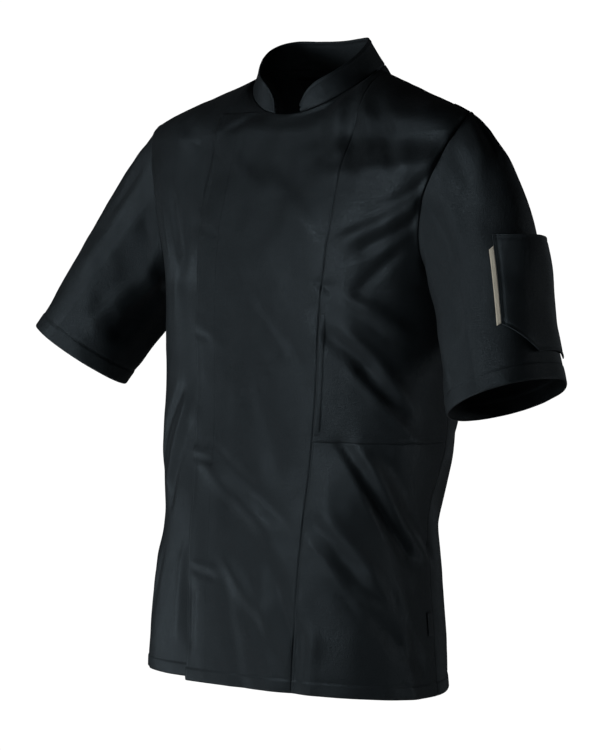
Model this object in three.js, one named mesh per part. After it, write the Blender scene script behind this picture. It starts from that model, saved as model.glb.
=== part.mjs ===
import * as THREE from "three";

// A short-sleeved chef jacket, filled out as if it were worn, in millimetres.
// +Z is up, the front faces -Y and the wearer's left is +X. The origin is the middle of the neck
// opening, level with the points where the shoulder seams meet the collar.
// Every piece of cloth is a wall of its own, cut along the seams of the real jacket: the left front
// is a centre panel that laps over the right front, and a side panel made of an upper and a lower piece.

const CLOTH = 1.5; // thickness of one layer of cloth
const SEAM_GAP = 0.3; // between two pieces that are sewn edge to edge
const LAYER_GAP = 0.3; // between a patch and the cloth that it lies on
const STUD_GAP = 2.6; // between the lapped front and the front below it, where the press studs are

// Level cross-sections of the body, from the hem up. front and back are how far the cloth reaches
// forwards and backwards at the middle, side and sideY the place of the widest point, and square
// how far the quarter curves bulge towards the corners.
const BODY = [
  { z: -780, front: 183, back: 83, side: 203, sideY: -50, square: 0.58 },
  { z: -690, front: 181, back: 83, side: 199, sideY: -49, square: 0.58 },
  { z: -610, front: 176, back: 82, side: 191, sideY: -45, square: 0.58 },
  { z: -530, front: 168, back: 82, side: 182, sideY: -37, square: 0.58 },
  { z: -450, front: 154, back: 109, side: 197, sideY: -25, square: 0.58 },
  { z: -370, front: 149, back: 122, side: 197, sideY: -17, square: 0.58 },
  { z: -290, front: 146, back: 128, side: 199, sideY: -12, square: 0.58 },
  { z: -220, front: 136, back: 130, side: 205, sideY: -12, square: 0.62 },
  { z: -150, front: 114, back: 120, side: 217, sideY: -16, square: 0.74 },
  { z: -110, front: 97, back: 109, side: 224, sideY: -22, square: 0.78 },
  { z: -75, front: 84, back: 98, side: 226, sideY: -28, square: 0.76 },
  { z: -40, front: 74, back: 86, side: 227, sideY: -33, square: 0.72 },
];
const YOKE_Z = -75; // above this level the cloth rises over the shoulders
const HEM_Z = -734; // the hem's mean level
const HEM_SWAY = { front: 5, side: -5, back: 2 }; // how far the hem rises or drops there
const HEM_LIFT = 4; // how much shorter the right front hangs than the lapped left one
const HEM_LIFT_ROWS = 0.15; // share of the way to the armpit over which that wears off

// The armhole seam, seen from the side. The squares say how full its upper and lower halves are.
const ARMHOLE = {
  top: -52,
  bottom: -262,
  middleY: -12,
  halfDepth: 63,
  tipForward: 6,
  topSquare: 1.5,
  square: 2.5,
};

// The seam between neck and collar: a ring that drops in front and rises behind.
const NECK = { halfWidth: 86, middleY: 1, halfDepth: 71, level: -7.5, tilt: -31, saddle: -11 };
const NECK_TO_SHOULDER = 95; // degrees from the centre front to the shoulder seam
const NECK_SHARE = 0.28; // share of the yoke's width that meets the collar

// Distance of the lapped edge, and of the seam that mirrors it, from the centre front.
const LAP_LINE = [
  { z: -780, x: 75 },
  { z: -640, x: 79 },
  { z: -530, x: 82 },
  { z: -430, x: 86 },
  { z: -280, x: 90 },
  { z: -230, x: 93 },
  { z: -165, x: 96 },
  { z: -75, x: 98 },
];
const LAP_TOP_GIRTH = 0.34; // where that seam meets the shoulder seam, as a share of the yoke's width
const NECK_COLUMN = NECK_SHARE / LAP_TOP_GIRTH;
const LAP_TOP_Z = -45; // free top edge of the lapped front
const UNDERLAP = 0.8; // how far the right front runs on below the left one, as a share of the lap
const UNDERLAP_TOP_Z = -57;
const TOP_EDGE_EASE = 0.2; // column by which a top edge has left the collar's level
const UNDERLAP_EASE = 70; // width over which the right front sinks below the lapped edge
const NECK_DEPTH = 2; // how far it is still sunk at the collar
const NECK_DEPTH_EASE = 0.6; // share of the neck's columns over which that wears off

// The collar's height behind and in front, the angle at which its ends start, how far it leans in
// behind, the round of its ends, and its distance from the seam. radius is that of the neck.
const COLLAR = { height: 42, frontHeight: 32, thick: 2.4, start: 13, lean: 34, round: 26, lift: 0.7, radius: 78 };

// The two sleeves. cuff is the middle of the sleeve's end, facing the way it points, and wide and
// deep its half sizes across and along the wearer's front.
const SLEEVES = {
  left: {
    side: 1,
    cuff: [312, -82, -384],
    facing: [0.361, -0.154, -0.92],
    wide: 71,
    deep: 66,
    leavesTop: [0.86, -0.1, -0.5],
    leavesBelow: [0.5, -0.2, -0.84],
    folds: [
      { from: [10, 12], to: [16, 52], width: 8, rise: -3.5 },
      { from: [-12, 10], to: [-6, 48], width: 8, rise: -2.5 },
      { from: [34, 14], to: [40, 60], width: 10, rise: 2 },
      { from: [104, 40], to: [100, 175], width: 11, rise: -3 },
      { from: [128, 60], to: [122, 240], width: 12, rise: 3.5 },
      { from: [154, 30], to: [150, 190], width: 13, rise: -5 },
      { from: [204, 70], to: [206, 250], width: 14, rise: 3 },
      { from: [234, 34], to: [238, 200], width: 14, rise: -4 },
      { from: [266, 50], to: [260, 190], width: 12, rise: 3 },
      { from: [300, 20], to: [306, 120], width: 12, rise: -2.5 },
    ],
  },
  right: {
    side: -1,
    cuff: [-312, -82, -347],
    facing: [-0.467, -0.273, -0.84],
    wide: 70,
    deep: 66,
    leavesTop: [0.72, -0.1, -0.68],
    leavesBelow: [0.5, -0.2, -0.84],
    folds: [
      { from: [14, 14], to: [8, 60], width: 9, rise: -2.5 },
      { from: [60, 30], to: [66, 150], width: 14, rise: 2.5 },
      { from: [98, 36], to: [104, 170], width: 12, rise: -3 },
      { from: [124, 60], to: [116, 210], width: 12, rise: 3 },
      { from: [152, 34], to: [146, 180], width: 12, rise: -4.5 },
      { from: [200, 60], to: [208, 230], width: 14, rise: 3 },
      { from: [232, 30], to: [228, 190], width: 13, rise: -4 },
      { from: [262, 60], to: [268, 200], width: 13, rise: 3 },
      { from: [318, 24], to: [312, 130], width: 14, rise: -2.5 },
    ],
  },
};
const SLEEVE_EASE = 0.95; // how far the sleeve holds its first direction

// The pocket on the left sleeve, by its sides in the sleeve's turn, from top to bottom, and its top and
// bottom in its reach. Its mouth is at the top and stands open, and its lower corners are cut off.
// topBow is what the top edge's reach loses 50 degrees from the shoulder, where the sleeve is shorter,
// and gapeDepth the share of the depth over which the mouth stands open.
const POCKET = {
  front: [48, 56],
  rear: [-58, -60],
  top: 0.53,
  topBow: 0.105,
  bottom: 0.9,
  corner: 0.14,
  cut: 0.26,
  gape: 8,
  gapeDepth: 0.75,
};
const TAPE = { gap: 0.4, width: 5.5, from: 0.12, to: 0.98, thick: 0.8 };
const TAG = { fromColumn: 1.93, toColumn: 1.985, top: -640, bottom: -667, thick: 0.7 };
const NECK_LABEL = { column: 0.6, rows: [2.42, 2.5, 2.75, 2.86], thick: 0.6 };
const STUDS = { levels: [-66, -200, -334, -468, -602], inset: 14, radius: 5.5, thick: 1.3 };

const BODY_PER_DEGREE = 3.05; // millimetres of cloth for each degree round the body
const SLEEVE_PER_DEGREE = 1.2;
const SLEEVE_LENGTH = 300; // mean length of a sleeve
const ARM_FADE = 0.1; // share of the girth over which the folds fade out towards the armhole
const ARM_FADE_ROW = 0.8;
const TOP_FADE = 0.55;
const SLEEVE_FADE = 0.12; // share of the sleeve over which its folds grow from the seam
const SLEEVE_ARRIVES = 0.9; // how far it holds the direction of its end

// The largest folds. Each runs from one place to another, in degrees round the body (0 in front,
// positive to the wearer's left, 180 behind) and the level above the origin. On a sleeve it is
// the armhole's turn and the distance from the seam. width is half the fold's breadth, and rise
// its height, or its depth where it is negative.
const BODY_FOLDS = [
  { from: [-17, -82], to: [12, -174], width: 13, rise: 3.4 },
  { from: [-9, -94], to: [22, -194], width: 12, rise: -2.4 },
  { from: [55, -142], to: [31, -182], width: 11, rise: -3.4 },
  { from: [57, -162], to: [33, -198], width: 11, rise: 3.8 },
  { from: [57, -182], to: [39, -214], width: 11, rise: -3.4 },
  { from: [51, -226], to: [43, -250], width: 11, rise: -3 },
  { from: [37, -270], to: [56, -302], width: 13, rise: 3 },
  { from: [32, -318], to: [45, -346], width: 11, rise: -3.4 },
  { from: [39, -318], to: [59, -378], width: 12, rise: 3.6 },
  { from: [44, -354], to: [61, -402], width: 11, rise: -3.2 },
  { from: [38, -446], to: [74, -566], width: 11, rise: -4 },
  { from: [46, -458], to: [84, -570], width: 11, rise: 4 },
  { from: [39, -538], to: [54, -586], width: 13, rise: 3.2 },
  { from: [42, -574], to: [57, -618], width: 12, rise: -3 },
  { from: [47, -622], to: [71, -682], width: 14, rise: -3 },
  { from: [-18, -470], to: [10, -534], width: 12, rise: 2.8 },
  { from: [6, -526], to: [15, -566], width: 13, rise: 2.8 },
  { from: [-2, -594], to: [8, -634], width: 12, rise: 3.2 },
  { from: [17, -614], to: [21, -654], width: 11, rise: -2.8 },
  { from: [-34, -62], to: [-27, -78], width: 11, rise: -3.4 },
  { from: [-32, -402], to: [-46, -494], width: 11, rise: 3.8 },
  { from: [-38, -390], to: [-61, -486], width: 11, rise: -3.4 },
  { from: [-29, -590], to: [-28, -666], width: 11, rise: 3 },
  { from: [24, -670], to: [22, -726], width: 11, rise: -3.2 },
  { from: [-72, -600], to: [-78, -740], width: 15, rise: 4 },
  { from: [70, -640], to: [74, -744], width: 13, rise: 3 },
  { from: [98, -300], to: [108, -440], width: 15, rise: -4 },
  { from: [-98, -296], to: [-112, -430], width: 15, rise: -4.5 },
  { from: [154, -150], to: [128, -310], width: 18, rise: 4 },
  { from: [-151, -170], to: [-124, -330], width: 18, rise: 4 },
  { from: [118, -450], to: [168, -560], width: 20, rise: -5 },
  { from: [-122, -462], to: [-170, -580], width: 20, rise: -5 },
  { from: [120, -520], to: [160, -640], width: 18, rise: 4 },
  { from: [-118, -540], to: [-156, -650], width: 18, rise: 4 },
  { from: [148, -640], to: [151, -742], width: 18, rise: -4 },
  { from: [-166, -650], to: [-162, -742], width: 20, rise: 5 },
  { from: [177, -90], to: [184, -190], width: 22, rise: -3 },
];

// Rows of points up the body: 0 is the hem, 1 the armpit, 2 the yoke level, and 3 the neck and shoulders.
const steps = (from, to, count) => Array.from({ length: count + 1 }, (_, i) => from + ((to - from) * i) / count);
const ROWS = [...steps(0, 1, 24), ...steps(1, 2, 8).slice(1), ...steps(2, 3, 4).slice(1)];
const POCKET_SEAM_ROW = 15 / 24; // the level seam across the left side panel, the foot of its pocket
const SIDE_COLUMNS = steps(0, 1, 9); // shares of the way from the lap line to the side
const NECK_ANGLES = [0, 13, 29, 45, 62, 79, 95]; // columns of points that end at the collar
const SLEEVE_ROWS = steps(0, 1, 13);

const clamp = (value, low, high) => Math.min(Math.max(value, low), high);
const mix = (a, b, share) => a + (b - a) * share;
const ease = (value) => {
  const t = clamp(value, 0, 1);
  return t * t * (3 - 2 * t);
};
const radians = THREE.MathUtils.degToRad;

// A named column of a table at a place along its key column, on a smooth curve through the rows.
function along(table, key, name, at) {
  let i = 0;
  while (i < table.length - 2 && at > table[i + 1][key]) i += 1;
  const span = table[i + 1][key] - table[i][key];
  const t = (at - table[i][key]) / span;
  const slope = (j) => {
    const low = table[Math.max(j - 1, 0)];
    const high = table[Math.min(j + 1, table.length - 1)];
    return ((high[name] - low[name]) / (high[key] - low[key])) * span;
  };
  if (t < 0 || t > 1) return mix(table[i][name], table[i + 1][name], t);
  return hermite(table[i][name], slope(i), table[i + 1][name], slope(i + 1), t);
}

function hermite(a, leaving, b, arriving, t) {
  const t2 = t * t;
  const t3 = t2 * t;
  return (2 * t3 - 3 * t2 + 1) * a + (t3 - 2 * t2 + t) * leaving + (3 * t2 - 2 * t3) * b + (t3 - t2) * arriving;
}

const hermitePoint = (a, leaving, b, arriving, t) =>
  new THREE.Vector3(
    hermite(a.x, leaving.x, b.x, arriving.x, t),
    hermite(a.y, leaving.y, b.y, arriving.y, t),
    hermite(a.z, leaving.z, b.z, arriving.z, t),
  );

function bezier(a, b, c, d, t) {
  const s = 1 - t;
  return s * s * s * a + 3 * s * s * t * b + 3 * s * t * t * c + t * t * t * d;
}

// The place where a rising function reaches a target, by halving.
function solve(rising, target, low, high) {
  for (let i = 0; i < 30; i += 1) {
    const middle = (low + high) / 2;
    if (rising(middle) < target) low = middle;
    else high = middle;
  }
  return (low + high) / 2;
}

// A point of the level section at height z, on the wearer's left. face is 1 in front and -1 behind,
// and girth runs from 0 at the middle to 1 at the side.
function section(face, girth, z) {
  const side = along(BODY, "z", "side", z);
  const sideY = along(BODY, "z", "sideY", z);
  const square = along(BODY, "z", "square", z);
  const middleY = face > 0 ? -along(BODY, "z", "front", z) : along(BODY, "z", "back", z);
  const cornerY = mix(sideY, middleY, square);
  return new THREE.Vector3(
    bezier(0, side * square, side, side, girth),
    bezier(middleY, middleY, cornerY, sideY, girth),
    z,
  );
}

// The armhole seam. turn is 0 at the shoulder, 90 in front, 180 at the armpit and 270 behind.
const armholePoints = new Map();
function armhole(turn) {
  if (!armholePoints.has(turn)) armholePoints.set(turn, findArmhole(turn));
  return armholePoints.get(turn).clone();
}
function findArmhole(turn) {
  const { top, bottom, middleY, halfDepth, tipForward, topSquare, square } = ARMHOLE;
  const rise = Math.cos(radians(turn));
  const reach = Math.sin(radians(turn));
  const bow = (value) => Math.sign(value) * Math.abs(value) ** (2 / (rise > 0 ? topSquare : square));
  const z = (top + bottom) / 2 + ((top - bottom) / 2) * bow(rise);
  const y = middleY - tipForward * Math.max(rise, 0) ** 2 - halfDepth * bow(reach);
  const face = y < along(BODY, "z", "sideY", z) ? 1 : -1;
  const girth = solve((g) => face * section(face, g, z).y, face * y, 0, 1);
  return section(face, girth, z).setY(y);
}
const armholeTurn = (z) => {
  const { top, bottom, topSquare, square } = ARMHOLE;
  const rise = clamp((z - (top + bottom) / 2) / ((top - bottom) / 2), -1, 1);
  const bowed = Math.abs(rise) ** ((rise > 0 ? topSquare : square) / 2);
  return THREE.MathUtils.radToDeg(Math.acos(Math.sign(rise) * bowed));
};
const YOKE_TURN = armholeTurn(YOKE_Z);
const armholeGirths = new Map();
function armholeGirth(face, z) {
  const key = `${face} ${z}`;
  if (!armholeGirths.has(key)) {
    const y = armhole(face > 0 ? armholeTurn(z) : 360 - armholeTurn(z)).y;
    armholeGirths.set(key, solve((g) => face * section(face, g, z).y, face * y, 0, 1));
  }
  return armholeGirths.get(key);
}

// The neck seam, at an angle from the centre front.
function neckline(angle) {
  const { halfWidth, middleY, halfDepth, level, tilt, saddle } = NECK;
  const a = radians(angle);
  const z = level + tilt * Math.cos(a) + saddle * Math.cos(2 * a);
  return new THREE.Vector3(halfWidth * Math.sin(a), middleY - halfDepth * Math.cos(a), z);
}

// The shoulder seam, from the collar at 0 to the armhole at 1.
function shoulder(share) {
  const start = neckline(NECK_TO_SHOULDER);
  const end = armhole(0);
  return start.lerp(end, share);
}

// The cloth above the yoke level, from the level section below to the neck and shoulder seams.
const YOKE_ARRIVES = {
  front: { neck: [0, 0.45, 0.89], collarPoint: [0, 0.95, 0.3], tip: [0.1, 0.97, 0.2] },
  back: { neck: [0, -0.2, 0.98], collarPoint: [0, -0.95, 0.3], tip: [0.1, -0.97, 0.2] },
};
function yoke(face, girth, rise) {
  const rim = armholeGirth(face, YOKE_Z);
  const foot = section(face, girth * rim, YOKE_Z);
  const below = section(face, girth * rim, YOKE_Z - 10);
  const onNeck = girth < NECK_SHARE;
  const neckAngle = (girth / NECK_SHARE) * NECK_TO_SHOULDER;
  const backAngle = 180 - (girth / NECK_SHARE) * (180 - NECK_TO_SHOULDER);
  const share = (girth - NECK_SHARE) / (1 - NECK_SHARE);
  const head = onNeck ? neckline(face > 0 ? neckAngle : backAngle) : shoulder(share);
  const arrives = face > 0 ? YOKE_ARRIVES.front : YOKE_ARRIVES.back;
  const from = new THREE.Vector3(...(onNeck ? arrives.neck : arrives.collarPoint));
  const to = new THREE.Vector3(...(onNeck ? arrives.collarPoint : arrives.tip));
  const length = head.distanceTo(foot);
  const arriving = from.lerp(to, onNeck ? ease(girth / NECK_SHARE) : share).setLength(length);
  const leaving = foot.clone().sub(below).setLength(length);
  const point = hermitePoint(foot, leaving, head, arriving, rise);
  // The outer edge follows the armhole seam.
  const edgeFoot = section(face, rim, YOKE_Z);
  const edgeBelow = section(face, rim, YOKE_Z - 10);
  const tip = armhole(0);
  const edgeLength = tip.distanceTo(edgeFoot);
  const edgeArrives = new THREE.Vector3(...arrives.tip).setLength(edgeLength);
  const edgeLeaves = edgeFoot.clone().sub(edgeBelow).setLength(edgeLength);
  const drawn = hermitePoint(edgeFoot, edgeLeaves, tip, edgeArrives, rise);
  const turn = mix(YOKE_TURN, 0, rise);
  const seam = armhole(face > 0 ? turn : 360 - turn);
  return point.addScaledVector(seam.sub(drawn), ease(girth) ** 2);
}

const hemLevel = (face, girth) => {
  const middle = face > 0 ? HEM_SWAY.front : HEM_SWAY.back;
  return HEM_Z + mix(middle, HEM_SWAY.side, ease(Math.abs(girth)));
};

// The height of a row, up to the yoke.
function rowHeight(face, girth, row) {
  if (row <= 1) return mix(hemLevel(face, girth), ARMHOLE.bottom, row);
  return armhole(mix(180, YOKE_TURN, row - 1)).z;
}

// The cloth without its folds, on the wearer's left. row runs from 2 to 3 over the yoke.
function smoothBody(face, girth, row) {
  if (row > 2) return yoke(face, girth, row - 2);
  const z = rowHeight(face, girth, row);
  return section(face, girth * (row > 1 ? armholeGirth(face, z) : 1), z);
}

// Share of the girth at which the lap line lies, by row.
const lapShares = new Map();
function lapGirth(row) {
  if (row > 2) return mix(lapGirth(2), LAP_TOP_GIRTH, row - 2);
  if (!lapShares.has(row)) {
    const lapX = along(LAP_LINE, "z", "x", rowHeight(1, 0.3, row));
    lapShares.set(row, solve((g) => smoothBody(1, g, row).x, lapX, 0, 1));
  }
  return lapShares.get(row);
}

// A column runs from 0 at the middle to 1 at the lap line and 2 at the side seam or armhole, and is
// negative on the wearer's right.
function girthOf(column, row) {
  const across = Math.abs(column);
  return across < 1 ? across * lapGirth(row) : mix(lapGirth(row), 1, across - 1);
}

// Height of the folds at an angle, whose scale is the millimetres of cloth for each degree, and a level.
function foldHeight(folds, scale, at, level) {
  let height = 0;
  for (const { from: [fromAt, fromLevel], to: [toAt, toLevel], width, rise } of folds) {
    const lineX = (toAt - fromAt) * scale;
    const lineY = toLevel - fromLevel;
    const dx = (at - fromAt) * scale;
    const dy = level - fromLevel;
    const length2 = lineX * lineX + lineY * lineY;
    const share = (dx * lineX + dy * lineY) / length2;
    const off = Math.abs(dx * lineY - dy * lineX) / Math.sqrt(length2) / width;
    const beyond = (Math.max(-share, share - 1, 0) * Math.sqrt(length2)) / (2 * width);
    if (off > 3 || beyond > 3) continue;
    height += rise * Math.exp(-off * off - beyond * beyond);
  }
  return height;
}

// Height of the body's folds, which fade out towards the armhole and the seams above the yoke.
function foldOut(face, column, row, point) {
  const girth = girthOf(column, row);
  const rim = row > 1 ? armholeGirth(face, rowHeight(face, girth, Math.min(row, 2))) : 1;
  const side = column < 0 ? -1 : 1;
  const turn = (face > 0 ? girth * rim * 90 : 180 - girth * rim * 90) * side;
  const atArm = mix(1, ease((1 - girth) / ARM_FADE), ease((row - ARM_FADE_ROW) / (1 - ARM_FADE_ROW)));
  const atTop = ease((3 - row) / TOP_FADE);
  let height = foldHeight(BODY_FOLDS, BODY_PER_DEGREE, turn, point.z);
  if (face < 0) height += foldHeight(BODY_FOLDS, BODY_PER_DEGREE, turn - 360 * side, point.z);
  return atArm * atTop * height;
}

const normals = new Map();
function smoothNormal(face, column, row) {
  const key = `${face} ${Math.abs(column).toFixed(4)} ${row.toFixed(4)}`;
  if (!normals.has(key)) {
    const across = Math.abs(column);
    const at = (c, r) => smoothBody(face, girthOf(Math.max(c, 0), r), r);
    const e = 0.004;
    const du = at(across + e, row).sub(at(across > e ? across - e : across, row));
    const dv = at(across, row + e).sub(at(across, row - e));
    normals.set(key, du.cross(dv).normalize().multiplyScalar(face));
  }
  const n = normals.get(key).clone();
  return column < 0 ? n.setX(-n.x) : n;
}

// A point of the outside of the jacket's body, with its folds.
function body(face, column, row) {
  const point = smoothBody(face, girthOf(column, row), row);
  if (column < 0) point.x = -point.x;
  const height = foldOut(face, column, row, point);
  return height ? point.addScaledVector(smoothNormal(face, column, row), height) : point;
}

function bodyNormal(face, column, row, e = 0.02) {
  const du = body(face, column + e, row).sub(body(face, column - e, row));
  const dv = body(face, column, Math.min(row + e, 3)).sub(body(face, column, row - e));
  return du.cross(dv).normalize().multiplyScalar(face);
}

// How far the right front sinks below the surface, to pass under the lapped left front.
function underDepth(column, row) {
  const depth = CLOTH + STUD_GAP;
  const x = smoothBody(1, girthOf(column, row), row).x * Math.sign(column);
  const start = -along(LAP_LINE, "z", "x", rowHeight(1, 0.3, Math.min(row, 2))) - UNDERLAP_EASE;
  const below = depth * ease((x - start) / UNDERLAP_EASE);
  if (row <= 2) return below;
  const atNeck = NECK_DEPTH * (column > 0 ? 1 : ease((NECK_COLUMN + column) / (NECK_COLUMN * NECK_DEPTH_EASE)));
  return mix(below, column < -NECK_COLUMN ? 0 : atNeck, ease(row - 2));
}

// The seam round the neck. angle runs from 0 in front over the left side.
function neckSide(angle) {
  const turn = angle > 180 ? 360 - angle : angle;
  const front = turn <= NECK_TO_SHOULDER;
  const share = front ? turn / NECK_TO_SHOULDER : (180 - turn) / (180 - NECK_TO_SHOULDER);
  return { face: front ? 1 : -1, column: share * NECK_COLUMN * (angle > 180 ? -1 : 1), turn };
}
function neckNormal(angle) {
  const { face, column, turn } = neckSide(angle);
  const n = smoothNormal(face, column, 3);
  if (Math.abs(turn - NECK_TO_SHOULDER) < 0.01) n.add(smoothNormal(-face, column, 3)).normalize();
  return n;
}
function neckPoint(angle) {
  const { face, column } = neckSide(angle);
  const point = neckline(angle);
  if (face > 0 && column < 0) point.addScaledVector(neckNormal(angle), -underDepth(column, 3));
  return point;
}

// The collar stands on the neck seam and leans inwards. up is the height above the seam.
function collarRise(angle) {
  const front = (1 + Math.cos(radians(angle))) / 2;
  const lean = radians(mix(COLLAR.lean, 0, front ** 2));
  const out = new THREE.Vector3(Math.sin(radians(angle)), -Math.cos(radians(angle)), 0);
  return out.multiplyScalar(-Math.sin(lean)).add(new THREE.Vector3(0, 0, Math.cos(lean)));
}
const collarOut = (angle) => {
  const rise = collarRise(angle);
  const ahead = new THREE.Vector3(Math.cos(radians(angle)), Math.sin(radians(angle)), 0);
  return ahead.cross(rise).normalize();
};

// Into the cloth at the edge of a seam: the mean of the surfaces that meet there, so that the
// pieces on both sides share one face.
function intoSeam(thickness, ...meeting) {
  const mean = new THREE.Vector3();
  for (const n of meeting) mean.add(n);
  mean.normalize();
  const facing = Math.max(0.5, Math.min(...meeting.map((n) => n.dot(mean))));
  return mean.multiplyScalar(-thickness / facing);
}
const intoNeck = (angle, thickness) => intoSeam(thickness, neckNormal(angle), collarOut(angle));

function sleeveRing(sleeve) {
  const facing = new THREE.Vector3(...sleeve.facing).normalize();
  const across = new THREE.Vector3(sleeve.side, 0, 0);
  across.addScaledVector(facing, -across.dot(facing)).normalize();
  const ahead = facing.clone().cross(across).multiplyScalar(sleeve.side).normalize();
  return { facing, across, ahead };
}

// A point of a sleeve. turn is that of the armhole and reach runs from 0 there to 1 at its end.
function smoothSleeve(sleeve, turn, reach) {
  const { facing, across, ahead } = sleeve.ring;
  const root = armhole(((turn % 360) + 360) % 360);
  root.x *= sleeve.side;
  const end = new THREE.Vector3(...sleeve.cuff)
    .addScaledVector(across, sleeve.wide * Math.cos(radians(turn)))
    .addScaledVector(ahead, sleeve.deep * Math.sin(radians(turn)));
  const length = root.distanceTo(end);
  const top = new THREE.Vector3(...sleeve.leavesTop);
  const leaving = new THREE.Vector3(...sleeve.leavesBelow).lerp(top, (1 + Math.cos(radians(turn))) / 2);
  leaving.x *= sleeve.side;
  leaving.setLength(length * SLEEVE_EASE);
  return hermitePoint(root, leaving, end, facing.clone().multiplyScalar(length * SLEEVE_ARRIVES), reach);
}
const sleeveNormals = new Map();
function smoothSleeveNormal(sleeve, turn, reach) {
  const key = `${sleeve.side} ${turn.toFixed(3)} ${reach.toFixed(4)}`;
  if (!sleeveNormals.has(key)) {
    const du = smoothSleeve(sleeve, turn + 1, reach).sub(smoothSleeve(sleeve, turn - 1, reach));
    const dv = smoothSleeve(sleeve, turn, reach + 0.01).sub(smoothSleeve(sleeve, turn, reach - 0.01));
    sleeveNormals.set(key, du.cross(dv).normalize().multiplyScalar(sleeve.side));
  }
  return sleeveNormals.get(key).clone();
}
function sleevePoint(sleeve, turn, reach) {
  const point = smoothSleeve(sleeve, turn, reach);
  const level = reach * SLEEVE_LENGTH;
  const signed = turn > 180 ? turn - 360 : turn;
  let height = 0;
  for (const at of [signed - 360, signed, signed + 360])
    height += foldHeight(sleeve.folds, SLEEVE_PER_DEGREE, at, level);
  height *= ease(reach / SLEEVE_FADE);
  return height ? point.addScaledVector(smoothSleeveNormal(sleeve, turn, reach), height) : point;
}
function sleeveNormal(sleeve, turn, reach) {
  const du = sleevePoint(sleeve, turn + 3, reach).sub(sleevePoint(sleeve, turn - 3, reach));
  const low = Math.max(reach - 0.02, 0);
  const dv = sleevePoint(sleeve, turn, Math.min(reach + 0.02, 1)).sub(sleevePoint(sleeve, turn, low));
  return du.cross(dv).normalize().multiplyScalar(sleeve.side);
}

// The face, row and turn of the armhole's points, which the body and the sleeves share.
const rowTurn = (row) => (row <= 2 ? mix(180, YOKE_TURN, row - 1) : mix(YOKE_TURN, 0, row - 2));
function intoArmhole(side, face, row, thickness) {
  const turn = face > 0 ? rowTurn(row) : 360 - rowTurn(row);
  const sleeve = side > 0 ? SLEEVES.left : SLEEVES.right;
  const meeting = [smoothNormal(face, 2 * side, row), smoothSleeveNormal(sleeve, turn % 360, 0)];
  if (row >= 3 || row <= 1) meeting[0].add(smoothNormal(-face, 2 * side, row)).normalize();
  return intoSeam(thickness, ...meeting);
}

// From the outside of the body's cloth to its inside, which differs from the normal at a seam
// where the surface turns.
function intoBody(face, column, row) {
  const across = Math.abs(column);
  const side = Math.sign(column) || 1;
  if (across > 1.999 && row >= 0.999) return intoArmhole(side, face, row, CLOTH);
  if (row > 2.999) {
    if (across < NECK_COLUMN + 0.001) {
      const share = across / NECK_COLUMN;
      const turn = face > 0 ? share * NECK_TO_SHOULDER : 180 - share * (180 - NECK_TO_SHOULDER);
      return intoNeck(side > 0 ? turn : 360 - turn, CLOTH);
    }
    return intoSeam(CLOTH, smoothNormal(1, column, 3), smoothNormal(-1, column, 3));
  }
  if (across > 1.999) return bodyNormal(1, column, row).add(bodyNormal(-1, column, row)).setLength(-CLOTH);
  return bodyNormal(face, column, row).multiplyScalar(-CLOTH);
}

// A closed wall from rows of outer points and the way from each to its inner point. seams names
// the edges that are drawn back by half a seam's gap.
function wall(outer, into, { ring = false, seams = "" } = {}) {
  const rows = outer.length;
  const columns = outer[0].length;
  const moved = outer.map((row) => row.map((p) => p.clone()));
  const draw = (i, j, toI, toJ) => {
    const away = outer[toI][toJ].clone().sub(outer[i][j]);
    moved[i][j].add(away.setLength(SEAM_GAP / 2));
  };
  for (let j = 0; j < columns; j += 1) {
    if (seams.includes("bottom")) draw(0, j, 1, j);
    if (seams.includes("top")) draw(rows - 1, j, rows - 2, j);
  }
  for (let i = 0; i < rows; i += 1) {
    if (seams.includes("first")) draw(i, 0, i, 1);
    if (seams.includes("last")) draw(i, columns - 1, i, columns - 2);
  }
  const positions = [];
  for (const row of moved) for (const p of row) positions.push(p.x, p.y, p.z);
  moved.forEach((row, i) =>
    row.forEach((p, j) => {
      const inner = p.clone().add(into[i][j]);
      positions.push(inner.x, inner.y, inner.z);
    }),
  );
  const at = (layer, i, j) => layer * rows * columns + i * columns + (j % columns);
  const index = [];
  const quad = (a, b, c, d) => index.push(a, b, c, a, c, d);
  const last = ring ? columns : columns - 1;
  for (let i = 0; i + 1 < rows; i += 1)
    for (let j = 0; j < last; j += 1) {
      quad(at(0, i, j), at(0, i, j + 1), at(0, i + 1, j + 1), at(0, i + 1, j));
      quad(at(1, i, j), at(1, i + 1, j), at(1, i + 1, j + 1), at(1, i, j + 1));
    }
  for (let j = 0; j < last; j += 1) {
    quad(at(0, 0, j), at(1, 0, j), at(1, 0, j + 1), at(0, 0, j + 1));
    quad(at(0, rows - 1, j), at(0, rows - 1, j + 1), at(1, rows - 1, j + 1), at(1, rows - 1, j));
  }
  if (!ring)
    for (let i = 0; i + 1 < rows; i += 1) {
      quad(at(0, i, 0), at(0, i + 1, 0), at(1, i + 1, 0), at(1, i, 0));
      quad(at(0, i, last), at(1, i, last), at(1, i + 1, last), at(0, i + 1, last));
    }
  if (signedVolume(positions, index) < 0)
    for (let i = 0; i < index.length; i += 3) [index[i + 1], index[i + 2]] = [index[i + 2], index[i + 1]];
  const geometry = new THREE.BufferGeometry();
  geometry.setAttribute("position", new THREE.BufferAttribute(new Float32Array(positions), 3));
  geometry.setIndex(index);
  geometry.computeVertexNormals();
  return geometry;
}

function signedVolume(positions, index) {
  const point = (i) => new THREE.Vector3().fromArray(positions, 3 * i);
  let volume = 0;
  for (let i = 0; i < index.length; i += 3)
    volume += point(index[i]).dot(point(index[i + 1]).cross(point(index[i + 2]))) / 6;
  return volume;
}

for (const sleeve of Object.values(SLEEVES)) sleeve.ring = sleeveRing(sleeve);

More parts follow.
